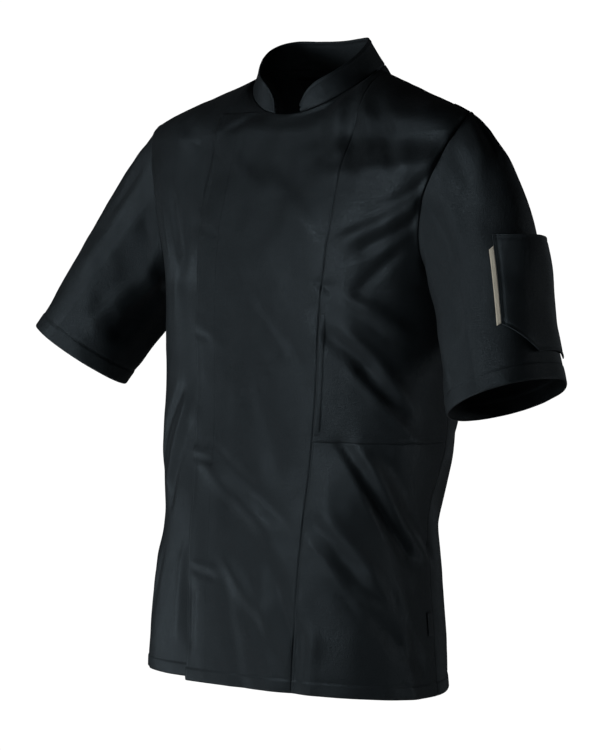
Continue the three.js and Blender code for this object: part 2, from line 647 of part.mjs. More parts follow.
const jacket = new THREE.Group();
const BLACK = new THREE.MeshStandardMaterial({ color: 0x24282a, roughness: 0.85, side: THREE.DoubleSide });
const CREAM = new THREE.MeshStandardMaterial({ color: 0xd8cfae, roughness: 0.9 });
const TRIM = new THREE.MeshStandardMaterial({ color: 0x15171a, roughness: 0.6 });
function add(name, geometry, material = BLACK) {
  const mesh = new THREE.Mesh(geometry, material);
  mesh.name = name;
  jacket.add(mesh);
}

const CENTRE = [...new Set([...NECK_ANGLES.map((a) => (a / NECK_TO_SHOULDER) * NECK_COLUMN), 1])];
const SIDE = SIDE_COLUMNS.map((share) => 1 + share);
const mirrored = (list) => list.map((c) => -c).reverse();

// The body's panels.
function bodyPanel(name, face, columns, rows, seams, { rowOf = (c, r) => r, depth = () => 0, lift = HEM_LIFT } = {}) {
  const outer = [];
  const into = [];
  for (const r of rows) {
    const points = columns.map((c) => {
      const row = rowOf(c, r);
      const sunk = depth(c, row);
      const p = body(face, c, row);
      p.z += lift * ease(-c) * ease(1 - row / HEM_LIFT_ROWS);
      return sunk ? p.addScaledVector(bodyNormal(face, c, row), -sunk) : p;
    });
    outer.push(points);
    into.push(columns.map((c) => intoBody(face, c, rowOf(c, r))));
  }
  add(name, wall(outer, into, { seams }));
}

// A row that stops short of the neck, at a level that is free of the collar.
function rowBelow(column, levelOf) {
  const target = levelOf(column);
  return solve((row) => body(1, column, row).z, target, 2, 3);
}
const lapTop = new Map();
const lapRow = (c, r) => {
  if (r <= 2 || c >= 0) return r;
  if (!lapTop.has(c))
    lapTop.set(c, rowBelow(c, () => mix(neckline(0).z, LAP_TOP_Z, ease(-c / TOP_EDGE_EASE))));
  return 2 + (r - 2) * (lapTop.get(c) - 2);
};
const underTop = new Map();
const underRow = (c, r) => {
  if (r <= 2 || c <= 0) return r;
  if (!underTop.has(c))
    underTop.set(c, rowBelow(c, () => mix(neckline(0).z, UNDERLAP_TOP_Z, ease(c / TOP_EDGE_EASE))));
  return 2 + (r - 2) * (underTop.get(c) - 2);
};

const lowerRows = ROWS.filter((r) => r <= POCKET_SEAM_ROW + 1e-6);
const upperRows = ROWS.filter((r) => r >= POCKET_SEAM_ROW - 1e-6);
const rightColumns = [...mirrored(SIDE), ...mirrored(CENTRE).slice(1), ...CENTRE.slice(1).filter((c) => c < UNDERLAP)];
bodyPanel("front_plastron", 1, [...mirrored(CENTRE), ...CENTRE.slice(1)], ROWS, "top last", { rowOf: lapRow, lift: 0 });
bodyPanel("front_right", 1, rightColumns, ROWS, "top first", { rowOf: underRow, depth: underDepth });
bodyPanel("side_front_left_lower", 1, SIDE, lowerRows, "top first last");
bodyPanel("side_front_left_upper", 1, SIDE, upperRows, "bottom top first last");
const backColumns = [...CENTRE, ...SIDE.slice(1)];
bodyPanel("back", -1, [...mirrored(backColumns), ...backColumns.slice(1)], ROWS, "top first last");

// The sleeves.
const TURNS = [
  ...ROWS.filter((r) => r >= 1).map((row) => ({ turn: rowTurn(row), face: 1, row })).reverse(),
  ...ROWS.filter((r) => r > 1 && r < 3).map((row) => ({ turn: 360 - rowTurn(row), face: -1, row })),
];
for (const [name, sleeve] of Object.entries(SLEEVES)) {
  const outer = SLEEVE_ROWS.map((reach) => TURNS.map(({ turn }) => sleevePoint(sleeve, turn, reach)));
  // The first ring leaves the seam's gap along the way that the sleeve points.
  outer[0].forEach((p) => p.addScaledVector(sleeve.ring.facing, 1.5 * SEAM_GAP));
  const into = SLEEVE_ROWS.map((reach) =>
    TURNS.map(({ turn, face, row }) =>
      reach === 0
        ? intoArmhole(sleeve.side, face, row, CLOTH)
        : sleeveNormal(sleeve, turn, reach).multiplyScalar(-CLOTH),
    ),
  );
  add(`sleeve_${name}`, wall(outer, into, { ring: true }));
}

// The collar.
const frontAngles = NECK_ANGLES.filter((a) => a >= COLLAR.start);
const backAngles = NECK_ANGLES.filter((a) => a < NECK_TO_SHOULDER).map(
  (a) => 180 - (a / NECK_TO_SHOULDER) * (180 - NECK_TO_SHOULDER),
);
const halfAngles = [...frontAngles, ...backAngles.reverse()];
const collarAngles = [...halfAngles, ...halfAngles.slice(0, -1).map((a) => 360 - a).reverse()];
const collarHeight = (angle) => {
  const front = (1 + Math.cos(radians(angle))) / 2;
  const full = mix(COLLAR.height, COLLAR.frontHeight, front);
  const turn = Math.min(angle, 360 - angle) - COLLAR.start;
  const fromEnd = radians(turn) * COLLAR.radius;
  const drop = COLLAR.round - Math.sqrt(Math.max(COLLAR.round ** 2 - Math.max(COLLAR.round - fromEnd, 0) ** 2, 0));
  return full - drop;
};
const COLLAR_ROWS = steps(0, 1, 4);
const collarOuter = COLLAR_ROWS.map((share) =>
  collarAngles.map((angle) => {
    const height = COLLAR.lift + share * (collarHeight(angle) - COLLAR.lift);
    return neckPoint(angle).addScaledVector(collarRise(angle), height);
  }),
);
const collarInto = COLLAR_ROWS.map((share) =>
  collarAngles.map((angle) =>
    share === 0 ? intoNeck(angle, COLLAR.thick) : collarOut(angle).multiplyScalar(-COLLAR.thick),
  ),
);
add("collar", wall(collarOuter, collarInto));

// The pocket lies on the left sleeve's own surface, moved out.
const left = SLEEVES.left;
const onSleeve = (turn, reach, out) =>
  sleevePoint(left, turn, reach).addScaledVector(sleeveNormal(left, turn, reach), out);
const sleeveInto = (turn, reach, thick) => sleeveNormal(left, turn, reach).multiplyScalar(-thick);
const pocketFront = (down) => mix(...POCKET.front, down);
const pocketBottom = (across) => {
  const fromEdge = Math.min(across, 1 - across);
  return POCKET.bottom - POCKET.corner * clamp(1 - fromEdge / POCKET.cut, 0, 1);
};
const pocketTop = (across) =>
  POCKET.top - POCKET.topBow * (mix(POCKET.front[0], POCKET.rear[0], across) / 50) ** 2;
const pocketAt = (across, down) => ({
  turn: mix(pocketFront(down), mix(...POCKET.rear, down), across),
  reach: mix(pocketTop(across), pocketBottom(across), down),
  gape: POCKET.gape * Math.sin(Math.PI * across) ** 1.5 * ease(1 - down / POCKET.gapeDepth),
});
const PATCH_GAP = LAYER_GAP * 1.5; // the patches' points lie between the sleeve's own
const pocketRows = steps(0, 1, 9).map((down) => steps(0, 1, 14).map((across) => pocketAt(across, 1 - down)));
const pocketOuter = pocketRows.map((row) =>
  row.map(({ turn, reach, gape }) => onSleeve(turn, reach, PATCH_GAP + CLOTH + gape)),
);
const pocketInto = pocketRows.map((row) => row.map(({ turn, reach }) => sleeveInto(turn, reach, CLOTH)));
add("sleeve_pocket", wall(pocketOuter, pocketInto));

// The tape is sewn in at the pocket's front edge and lies on the sleeve.
const tapeRows = steps(TAPE.from, TAPE.to, 6).map((down) =>
  [TAPE.gap, TAPE.width].map((ahead) => {
    const perDegree = (Math.PI / 180) * left.wide;
    return { turn: pocketFront(down) + ahead / perDegree, reach: mix(pocketTop(0), pocketBottom(0), down) };
  }),
);
const tapeOuter = tapeRows.map((row) => row.map(({ turn, reach }) => onSleeve(turn, reach, PATCH_GAP + TAPE.thick)));
const tapeInto = tapeRows.map((row) => row.map(({ turn, reach }) => sleeveInto(turn, reach, TAPE.thick)));
add("pocket_tape", wall(tapeOuter, tapeInto), CREAM);

// The tag in the left side seam lies on the side panel. It is plain.
const rowAt = (column, z) => solve((row) => body(1, column, row).z, z, 0, 3);
const tagRows = steps(0, 1, 3).map((up) =>
  [TAG.fromColumn, TAG.toColumn].map((c) => ({ c, row: rowAt(c, mix(TAG.bottom, TAG.top, up)) })),
);
const tagOuter = tagRows.map((row) =>
  row.map(({ c, row: r }) => body(1, c, r).addScaledVector(bodyNormal(1, c, r), LAYER_GAP + TAG.thick)),
);
const tagInto = tagRows.map((row) => row.map(({ c, row: r }) => bodyNormal(1, c, r).multiplyScalar(-TAG.thick)));
add("side_tag", wall(tagOuter, tagInto), TRIM);

// The plain label inside the back of the neck, on the columns of the back panel.
const backGrid = (c, r) => body(-1, c, r).add(intoBody(-1, c, r).multiplyScalar(1 + (7 * LAYER_GAP) / CLOTH));
const labelAt = (c, row) => {
  const above = ROWS.findIndex((r) => r > row);
  const share = (row - ROWS[above - 1]) / (ROWS[above] - ROWS[above - 1]);
  return backGrid(c, ROWS[above - 1]).lerp(backGrid(c, ROWS[above]), share);
};
const labelColumns = [...mirrored(CENTRE), ...CENTRE.slice(1)].filter((c) => Math.abs(c) < NECK_LABEL.column);
const labelOuter = NECK_LABEL.rows.map((row) => labelColumns.map((c) => labelAt(c, row)));
const labelInto = NECK_LABEL.rows.map((row) =>
  labelColumns.map((c) => bodyNormal(-1, c, row).multiplyScalar(-NECK_LABEL.thick)),
);
add("neck_label", wall(labelOuter, labelInto), TRIM);

// Press studs hold the lapped edge down. They are shut, half way between the two fronts.
const fronts = ["front_plastron", "front_right"].map((name) => jacket.getObjectByName(name));
function betweenFronts(point, normal) {
  const ray = new THREE.Raycaster(point.clone().addScaledVector(normal, 20), normal.clone().negate());
  const [over, under] = fronts.map((front) => ray.intersectObject(front).map((hit) => hit.distance));
  return ray.ray.at((over[1] + under[0]) / 2, new THREE.Vector3());
}
STUDS.levels.forEach((z, i) => {
  const column = -1 + STUDS.inset / along(LAP_LINE, "z", "x", z);
  const row = rowAt(column, z);
  const normal = bodyNormal(1, column, row);
  const middle = body(1, column, row);
  const across = new THREE.Vector3(0, 0, 1).cross(normal).setLength(STUDS.radius);
  const up = normal.clone().cross(across);
  const rim = [across, up, across.clone().negate(), up.clone().negate()].map((way) =>
    betweenFronts(middle.clone().add(way), normal),
  );
  const facing = rim[0].clone().sub(rim[2]).cross(rim[1].clone().sub(rim[3])).normalize();
  const centre = betweenFronts(middle, normal);
  for (const p of rim) centre.addScaledVector(facing, facing.dot(p.clone().sub(centre)) / 8);
  const stud = new THREE.CylinderGeometry(STUDS.radius, STUDS.radius, STUDS.thick, 20);
  stud.applyQuaternion(new THREE.Quaternion().setFromUnitVectors(new THREE.Vector3(0, 1, 0), facing));
  stud.translate(centre.x, centre.y, centre.z);
  add(`press_stud_${i + 1}`, stud, TRIM);
});

export default jacket;
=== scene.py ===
import math

import bpy
import numpy as np
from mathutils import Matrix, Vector


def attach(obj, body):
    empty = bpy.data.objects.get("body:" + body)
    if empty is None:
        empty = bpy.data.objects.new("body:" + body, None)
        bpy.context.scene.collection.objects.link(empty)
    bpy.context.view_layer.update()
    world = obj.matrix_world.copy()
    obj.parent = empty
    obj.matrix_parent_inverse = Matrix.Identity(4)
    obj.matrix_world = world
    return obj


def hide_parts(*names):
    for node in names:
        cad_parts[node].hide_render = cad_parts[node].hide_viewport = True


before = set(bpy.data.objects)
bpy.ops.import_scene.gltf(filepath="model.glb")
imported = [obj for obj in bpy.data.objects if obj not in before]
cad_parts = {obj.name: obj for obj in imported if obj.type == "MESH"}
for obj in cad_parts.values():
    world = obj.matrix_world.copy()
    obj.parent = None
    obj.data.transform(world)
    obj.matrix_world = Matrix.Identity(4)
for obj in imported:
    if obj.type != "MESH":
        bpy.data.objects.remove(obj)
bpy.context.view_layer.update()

# The camera stands where the photograph was taken, in front of the wearer's left and a little above
# the middle of the jacket. A long lens keeps the perspective weak, as in a catalogue picture.
VIEW_AZIMUTH, VIEW_ELEVATION, VIEW_DISTANCE = math.radians(34), math.radians(3), 2.8
PHOTO_HEIGHT = 0.93  # metres of the jacket that the photograph's height takes in
AIM_LEVEL, AIM_ASIDE = -0.368, -0.0186
SENSOR = 36


def way_from(azimuth, elevation):
    flat = math.cos(elevation)
    return Vector((math.sin(azimuth) * flat, -math.cos(azimuth) * flat, math.sin(elevation)))


def new_object(name, data):
    made = bpy.data.objects.new(name, data)
    bpy.context.collection.objects.link(made)
    return made


photo_right = Vector((math.cos(VIEW_AZIMUTH), math.sin(VIEW_AZIMUTH), 0))
towards_camera = way_from(VIEW_AZIMUTH, VIEW_ELEVATION)
camera = new_object("camera", bpy.data.cameras.new("camera"))
camera.location = Vector((0, 0, AIM_LEVEL)) + AIM_ASIDE * photo_right + VIEW_DISTANCE * towards_camera
camera.rotation_euler = towards_camera.to_track_quat("Z", "Y").to_euler()
camera.data.sensor_width = SENSOR
camera.data.lens = SENSOR * VIEW_DISTANCE / PHOTO_HEIGHT
camera.data.clip_end = 50
bpy.context.scene.camera = camera

# Plain soft studio light: a large key light from the wearer's right, weak ones from the front below and
# from behind on the left. The camera sees the white surround at full strength, and the cloth at less.
SURROUND_SEEN, SURROUND_ON_CLOTH = 1.05, 0.015
LIGHTS = [
    dict(name="key", azimuth=-34, elevation=0, distance=2.4, size=0.9, power=42),
    dict(name="front_fill", azimuth=30, elevation=-20, distance=2.8, size=0.9, power=2.5),
    dict(name="left_rim", azimuth=125, elevation=6, distance=2.4, size=0.7, power=7),
]
for light in LIGHTS:
    way = way_from(math.radians(light["azimuth"]), math.radians(light["elevation"]))
    lamp = new_object(light["name"], bpy.data.lights.new(light["name"], "AREA"))
    lamp.data.energy, lamp.data.size = light["power"], light["size"]
    lamp.location = Vector((0, 0, AIM_LEVEL)) + light["distance"] * way
    lamp.rotation_euler = way.to_track_quat("Z", "Y").to_euler()


def join(tree, links):
    """Joins nodes. Each link is a node, its output, the next node and its input."""
    for start, out, end, into in links:
        tree.links.new(start.outputs[out], end.inputs[into])


world = bpy.data.worlds.new("surround")
bpy.context.scene.world = world
world.use_nodes = True
world.node_tree.nodes.clear()
ray, strength, white, surround = (
    world.node_tree.nodes.new("ShaderNode" + kind)
    for kind in ("LightPath", "MapRange", "Background", "OutputWorld")
)
strength.inputs["To Min"].default_value = SURROUND_ON_CLOTH
strength.inputs["To Max"].default_value = SURROUND_SEEN
white.inputs["Color"].default_value = (1, 1, 1, 1)
join(
    world.node_tree,
    [
        (ray, "Is Camera Ray", strength, "Value"),
        (strength, "Result", white, "Strength"),
        (white, "Background", surround, "Surface"),
    ],
)
bpy.context.scene.view_settings.view_transform = "Standard"

# A plain pale floor of matt paint, as far below the jacket as a standing wearer's feet would be. It isn't
# part of the jacket.
FLOOR_LEVEL, FLOOR_HALF, FLOOR_COLOUR, FLOOR_ROUGHNESS = -1.45, 1.5, (0.82, 0.82, 0.81, 1), 0.9


def new_material(name):
    """A material with its node tree and its shader."""
    material = bpy.data.materials.new(name)
    material.use_nodes = True
    return material, material.node_tree, material.node_tree.nodes["Principled BSDF"]


floor_mesh = bpy.data.meshes.new("floor")
corners = [(x * FLOOR_HALF, y * FLOOR_HALF, FLOOR_LEVEL) for x, y in [(-1, -1), (1, -1), (1, 1), (-1, 1)]]
floor_mesh.from_pydata(corners, [], [(0, 1, 2, 3)])
floor = new_object("floor", floor_mesh)
floor_paint, _, shader = new_material("floor_paint")
shader.inputs["Base Color"].default_value = FLOOR_COLOUR
shader.inputs["Roughness"].default_value = FLOOR_ROUGHNESS
floor_mesh.materials.append(floor_paint)

# The lapped centre front. The maker turns its top and its free edge under and stitches them, sews its
# other edge to the left side panels, and holds it down with five hidden press studs. It is black
# twill of polyester and cotton, worked out in millimetres from level sections and two seams.
CLOTH, SEAM_GAP = 1.5, 0.3
SECTIONS = dict(
    z=[-780, -690, -610, -530, -450, -370, -290, -220, -150, -110, -75, -40],
    front=[183, 181, 176, 168, 154, 149, 146, 136, 114, 97, 84, 74],
    back=[83, 83, 82, 82, 109, 122, 128, 130, 120, 109, 98, 86],
    side=[203, 199, 191, 182, 197, 197, 199, 205, 217, 224, 226, 227],
    side_y=[-50, -49, -45, -37, -25, -17, -12, -12, -16, -22, -28, -33],
    square=[0.58, 0.58, 0.58, 0.58, 0.58, 0.58, 0.58, 0.62, 0.74, 0.78, 0.76, 0.72],
)
LAP = dict(z=[-780, -640, -530, -430, -280, -230, -165, -75], x=[75, 79, 82, 86, 90, 93, 96, 98])
YOKE_LEVEL, HEM_LEVEL, HEM_LIFT = -75, -734, 4
HEM_SWAY = dict(front=5, side=-5, back=2)
ARM_TOP, ARM_BOTTOM, ARM_Y, ARM_HALF_DEPTH, ARM_TIP_FORWARD = -52, -262, -12, 63, 6
ARM_TOP_SQUARE, ARM_SQUARE = 1.5, 2.5
NECK_HALF_WIDTH, NECK_Y, NECK_HALF_DEPTH, NECK_LEVEL, NECK_TILT, NECK_SADDLE = 86, 1, 71, -7.5, -31, -11
NECK_TO_SHOULDER, NECK_SHARE, LAP_TOP_GIRTH, LAP_TOP_LEVEL = 95, 0.28, 0.34, -45
NECK_COLUMN = NECK_SHARE / LAP_TOP_GIRTH
ARRIVES = {
    1: ([0, 0.45, 0.89], [0, 0.95, 0.3], [0.1, 0.97, 0.2]),
    -1: ([0, -0.2, 0.98], [0, -0.95, 0.3], [0.1, -0.97, 0.2]),
}
PER_DEGREE = 3.05  # millimetres of cloth for each degree round the body


def mix(a, b, share):
    return a + (b - a) * share


def ease(value):
    t = np.clip(value, 0, 1)
    return t * t * (3 - 2 * t)


def unit(v):
    return v / np.maximum(np.linalg.norm(v, axis=-1, keepdims=True), 1e-12)


def hermite(a, leaving, b, arriving, t):
    t2, t3 = t * t, t * t * t
    ends = (2 * t3 - 3 * t2 + 1) * a + (3 * t2 - 2 * t3) * b
    return ends + (t3 - 2 * t2 + t) * leaving + (t3 - t2) * arriving


def bezier(a, b, c, d, t):
    s = 1 - t
    return s * s * s * a + 3 * s * s * t * b + 3 * s * t * t * c + t * t * t * d


def along(table, name, z):
    """A named column of a table at a level, on a smooth curve through its rows."""
    keys, values = np.array(table["z"], float), np.array(table[name], float)
    i = np.clip(np.searchsorted(keys, z, side="left") - 1, 0, len(keys) - 2)
    low, high = np.maximum(np.arange(len(keys)) - 1, 0), np.minimum(np.arange(len(keys)) + 1, len(keys) - 1)
    slopes = (values[high] - values[low]) / (keys[high] - keys[low])
    span = keys[i + 1] - keys[i]
    t = (z - keys[i]) / span
    curved = hermite(values[i], slopes[i] * span, values[i + 1], slopes[i + 1] * span, t)
    return np.where((t < 0) | (t > 1), mix(values[i], values[i + 1], t), curved)


def solve(rising, target, low, high):
    """Where a rising function reaches its target, by halving."""
    low, high = low + 0.0 * np.asarray(target), high + 0.0 * np.asarray(target)
    for _ in range(26):
        middle = (low + high) / 2
        below = rising(middle) < target
        low, high = np.where(below, middle, low), np.where(below, high, middle)
    return (low + high) / 2


def by_value(work, values):
    """Does the work once for each different value."""
    different, places = np.unique(np.round(np.ravel(values), 6), return_inverse=True)
    done = work(different)
    return done[places.ravel()].reshape(np.shape(values) + done.shape[1:])


def section(face, girth, z):
    """A point of the level section at z on the wearer's left. face is 1 in front and -1 behind."""
    side, side_y, square = (along(SECTIONS, name, z) for name in ("side", "side_y", "square"))
    middle_y = np.where(face > 0, -along(SECTIONS, "front", z), along(SECTIONS, "back", z))
    x = bezier(0, side * square, side, side, girth)
    y = bezier(middle_y, middle_y, mix(side_y, middle_y, square), side_y, girth)
    return np.stack(np.broadcast_arrays(x, y, z), -1)


def bow(value, rise):
    """Rounds the armhole, which is fuller in its lower half than above."""
    return np.sign(value) * np.abs(value) ** (2 / np.where(rise > 0, ARM_TOP_SQUARE, ARM_SQUARE))


def armhole_level(turn):
    rise = np.cos(np.radians(turn))
    return (ARM_TOP + ARM_BOTTOM) / 2 + (ARM_TOP - ARM_BOTTOM) / 2 * bow(rise, rise)


def armhole_turn(z):
    rise = np.clip((z - (ARM_TOP + ARM_BOTTOM) / 2) / ((ARM_TOP - ARM_BOTTOM) / 2), -1, 1)
    bowed = np.abs(rise) ** (np.where(rise > 0, ARM_TOP_SQUARE, ARM_SQUARE) / 2)
    return np.degrees(np.arccos(np.sign(rise) * bowed))


def girth_at(face, y, z):
    """The girth at which a level section has that y."""
    return solve(lambda g: face * section(face, g, z)[..., 1], face * y, 0, 1)


def find_armhole(turn):
    rise, z = np.cos(np.radians(turn)), armhole_level(turn)
    reach = bow(np.sin(np.radians(turn)), rise)
    y = ARM_Y - ARM_TIP_FORWARD * np.maximum(rise, 0) ** 2 - ARM_HALF_DEPTH * reach
    face = np.where(y < along(SECTIONS, "side_y", z), 1, -1)
    point = section(face, girth_at(face, y, z), z)
    point[..., 1] = y
    return point


def armhole(turn):
    """The armhole seam: 0 at the shoulder, 90 in front, 180 at the armpit and 270 behind."""
    return by_value(find_armhole, np.mod(turn, 360))


def armhole_girth(face, z):
    return by_value(lambda level: girth_at(face, armhole(face * armhole_turn(level))[..., 1], level), z)


YOKE_TURN = float(armhole_turn(YOKE_LEVEL))


def neckline(angle):
    """The neck seam, at an angle from the centre front."""
    a = np.radians(angle)
    z = NECK_LEVEL + NECK_TILT * np.cos(a) + NECK_SADDLE * np.cos(2 * a)
    return np.stack([NECK_HALF_WIDTH * np.sin(a), NECK_Y - NECK_HALF_DEPTH * np.cos(a), z], -1)


def yoke(face, girth, rise):
    """The cloth above the yoke level, up to the neck and shoulder seams."""
    rim = float(armhole_girth(face, YOKE_LEVEL))
    neck, collar_point, end = (np.array(way) for way in ARRIVES[face])
    start, tip = neckline(NECK_TO_SHOULDER), armhole(0)
    on_neck = (girth < NECK_SHARE)[..., None]
    neck_share = np.clip(girth / NECK_SHARE, 0, 1)
    angle = mix(0 if face > 0 else 180, NECK_TO_SHOULDER, neck_share)
    share = ((girth - NECK_SHARE) / (1 - NECK_SHARE))[..., None]
    head = np.where(on_neck, neckline(angle), mix(start, tip, share))
    at_neck = mix(neck, collar_point, ease(neck_share)[..., None])
    arriving = np.where(on_neck, at_neck, mix(collar_point, end, share))
    t = rise[..., None]

    def risen(at, to, way):
        foot, below = section(face, at, YOKE_LEVEL), section(face, at, YOKE_LEVEL - 10)
        length = np.linalg.norm(to - foot, axis=-1, keepdims=True)
        return hermite(foot, unit(foot - below) * length, to, unit(way) * length, t)

    seam = armhole(face * mix(YOKE_TURN, 0, rise))
    drawn_in = seam - risen(rim + 0 * girth, tip, end)
    return risen(girth * rim, head, arriving) + drawn_in * (ease(girth) ** 2)[..., None]


def row_level(face, girth, row):
    """The level of a row: 0 is the hem, 1 the armpit and 2 the yoke."""
    hem = HEM_LEVEL + mix(HEM_SWAY["front"] if face > 0 else HEM_SWAY["back"], HEM_SWAY["side"], ease(girth))
    turn = mix(180, YOKE_TURN, np.clip(row, 1, 2) - 1)
    return np.where(row <= 1, mix(hem, ARM_BOTTOM, row), armhole_level(turn))


RIM_ROWS = np.linspace(1, 2, 801)
RIM_GIRTHS = {face: armhole_girth(face, row_level(face, 0.5, RIM_ROWS)) for face in (1, -1)}


def rim_of(face, row):
    """Share of the whole girth at which the armhole cuts a row off."""
    return np.where(row > 1, np.interp(row, RIM_ROWS, RIM_GIRTHS[face]), 1)


def smooth_body(face, girth, row):
    """The cloth on the wearer's left, without folds. Rows 2 to 3 rise over the yoke."""
    girth, row = np.broadcast_arrays(np.asarray(girth, float), np.asarray(row, float))
    low = section(face, girth * rim_of(face, row), row_level(face, girth, np.minimum(row, 2)))
    if not (row > 2).any():
        return low
    return np.where((row > 2)[..., None], yoke(face, girth, np.maximum(row - 2, 0)), low)


LAP_ROWS = np.linspace(-0.1, 2, 1601)
LAP_X = along(LAP, "x", row_level(1, 0.3, LAP_ROWS))
LAP_GIRTHS = solve(lambda g: smooth_body(1, g, LAP_ROWS)[..., 0], LAP_X, 0, 1)


def lap_girth(row):
    """Share of the girth at which the lap line lies."""
    share = np.interp(row, LAP_ROWS, LAP_GIRTHS)
    return np.where(row > 2, mix(share, LAP_TOP_GIRTH, row - 2), share)


def girth_of(column, row):
    """A column is 0 at the middle, 1 at the lap line and 2 at the side, negative on the wearer's right."""
    across, lap = np.abs(column), lap_girth(row)
    return np.where(across < 1, across * lap, mix(lap, 1, across - 1))


def sided(v, column):
    """Mirrors a point or a way to the wearer's right where the column is negative."""
    v = np.array(v)
    v[..., 0] *= np.where(column < 0, -1, 1)
    return v


def smooth_normal(face, column, row):
    across, step = np.abs(column), 0.01
    at = lambda c, r: smooth_body(face, girth_of(c, r), r)
    du = at(across + step, row) - at(np.maximum(across - step, 0), row)
    dv = at(across, row + step) - at(across, row - step)
    return sided(face * unit(np.cross(du, dv)), column)


# Each fold runs from one place to another, in degrees round the body (0 in front, positive to the
# wearer's left) and the level. width is half its breadth and rise its height, or depth if negative.
MAIN_FOLDS = [
    (-17, -82, 12, -174, 14, 2.8),
    (-6, -100, 22, -186, 13, -1.2),
    (22, -76, 50, -80, 20, -5),
    (55, -142, 31, -182, 10, -2.6),
    (57, -162, 33, -198, 10, 3),
    (57, -182, 39, -214, 9, -2.8),
    (51, -226, 43, -250, 9, -2.6),
    (37, -270, 56, -302, 11, 3),
    (32, -318, 45, -346, 10, -3.6),
    (39, -318, 59, -378, 11, 3.6),
    (44, -354, 61, -402, 9, -3.2),
    (38, -446, 74, -566, 9, -4),
    (46, -458, 84, -570, 9, 4),
    (56, -458, 90, -566, 7, -2.8),
    (39, -538, 54, -586, 13, 3.2),
    (42, -574, 57, -618, 9, -3),
    (47, -622, 71, -682, 14, -3),
    (-18, -470, 10, -534, 11, 2.8),
    (6, -526, 15, -566, 13, 2.8),
    (-2, -594, 8, -634, 11, 3.2),
    (17, -614, 21, -654, 9, -2.8),
    (-34, -62, -27, -78, 10, -2.4),
    (-38, -154, -37, -214, 7, -3),
    (-32, -402, -46, -494, 8, 3.8),
    (-38, -390, -61, -486, 7, -3.4),
    (-21, -626, -20, -680, 7, -3.2),
    (-29, -590, -28, -666, 9, 3),
    (24, -670, 22, -726, 8, -3.2),
    (-72, -600, -78, -740, 15, 4),
    (70, -640, 74, -744, 13, 3),
    (98, -300, 108, -440, 15, -4),
    (-98, -296, -112, -430, 15, -4.5),
    (154, -150, 128, -310, 18, 4),
    (-151, -170, -124, -330, 18, 4),
    (118, -450, 168, -560, 20, -5),
    (-122, -462, -170, -580, 20, -5),
    (120, -520, 160, -640, 18, 4),
    (-118, -540, -156, -650, 18, 4),
    (148, -640, 151, -742, 18, -4),
    (-166, -650, -162, -742, 20, 5),
    (177, -90, 184, -190, 22, -3),
]
CREASES = [
    (9, -48, 12, -98, 8, -2.2),
    (14, -46, 17, -96, 6, 1.4),
    (19, -46, 23, -112, 9, -2.6),
    (24, -50, 27, -100, 5, 1.4),
    (30, -50, 38, -108, 10, -3.2),
    (23, -122, 56, -116, 13, 3.4),
    (53, -206, 39, -226, 8, 1.4),
    (29, -256, 40, -266, 8, -2),
    (31, -534, 48, -578, 8, -2.4),
    (-11, -458, 15, -522, 8, -1.8),
    (8, -650, 14, -682, 10, -2),
    (29, -666, 28, -726, 8, 1.8),
    (-8, -50, -14, -62, 6, -1.4),
    (-12, -50, -17, -64, 7, 1.2),
    (-46, -162, -46, -206, 6, 1.5),
    (-30, -180, -32, -236, 8, -1.6),
    (-34, -262, -31, -330, 10, -1.4),
    (-38, -228, -42, -286, 9, 1.5),
    (-18, -598, -11, -602, 4, -1.8),
    (-19, -589, -11, -592, 4, 1.5),
    (-22, -464, -15, -467, 4, -1.7),
    (-23, -456, -15, -456, 4, 1.4),
    (-25, -314, -20, -318, 4, -1.2),
    (-22, -304, -14, -322, 8, 1),
    (-21, -186, -16, -194, 4, -1.2),
    (-20, -176, -10, -192, 8, 0.9),
    (-22, -78, -18, -94, 5, -1.4),
    (25, -254, 49, -306, 5, -1.3),
    (38, -330, 58, -380, 5, -1.3),
    (40, -360, 66, -430, 6, 1.5),
    (36, -452, 60, -540, 4, 1.2),
    (47, -470, 74, -566, 5, -1.5),
    (56, -458, 84, -548, 5, 1.4),
    (30, -560, 52, -640, 6, 1.4),
    (64, -610, 80, -700, 7, -1.5),
    (-6, -110, 3, -150, 7, -1.4),
    (-5, -240, 14, -330, 9, 1.6),
    (0, -262, 18, -340, 7, -1.4),
    (4, -380, 12, -470, 10, -1.6),
    (-4, -610, 2, -720, 9, -1.8),
    (10, -600, 14, -720, 8, 1.6),
    (-30, -430, -44, -520, 5, -1.5),
    (-50, -600, -60, -730, 9, -1.8),
]


def fold_height(folds, scale, turn, level):
    height = np.zeros(np.broadcast(turn, level).shape)
    for fold in folds:
        from_turn, from_level, to_turn, to_level, width, rise = fold
        line_x, line_y = (to_turn - from_turn) * scale, to_level - from_level
        dx, dy = (turn - from_turn) * scale, level - from_level
        length = math.hypot(line_x, line_y)
        share = (dx * line_x + dy * line_y) / length**2
        off = (dx * line_y - dy * line_x) / length / width
        beyond = np.maximum(np.maximum(-share, share - 1), 0) * length / (2 * width)
        height += rise * np.exp(-off * off - beyond * beyond)
    return height


def uneven(points, size, seed, cells=40):
    """Soft unevenness from -1 to 1, in lumps of about that size."""
    lattice = np.random.default_rng(seed).uniform(-1, 1, (cells, cells, cells))
    at = np.asarray(points) / np.asarray(size) + 1000
    cell = np.floor(at).astype(int)
    within = ease(at - cell)
    total = 0
    for corner in np.ndindex(2, 2, 2):
        weight = np.prod(np.where(np.array(corner) == 1, within, 1 - within), axis=-1)
        i, j, k = np.moveaxis((cell + corner) % cells, -1, 0)
        total = total + weight * lattice[i, j, k]
    return total


def rumple(point, seed):
    """The cloth's own slight unevenness, which no crease explains."""
    return 1.7 * uneven(point, (38, 38, 62), seed) + 0.6 * uneven(point, (17, 17, 26), seed + 1)


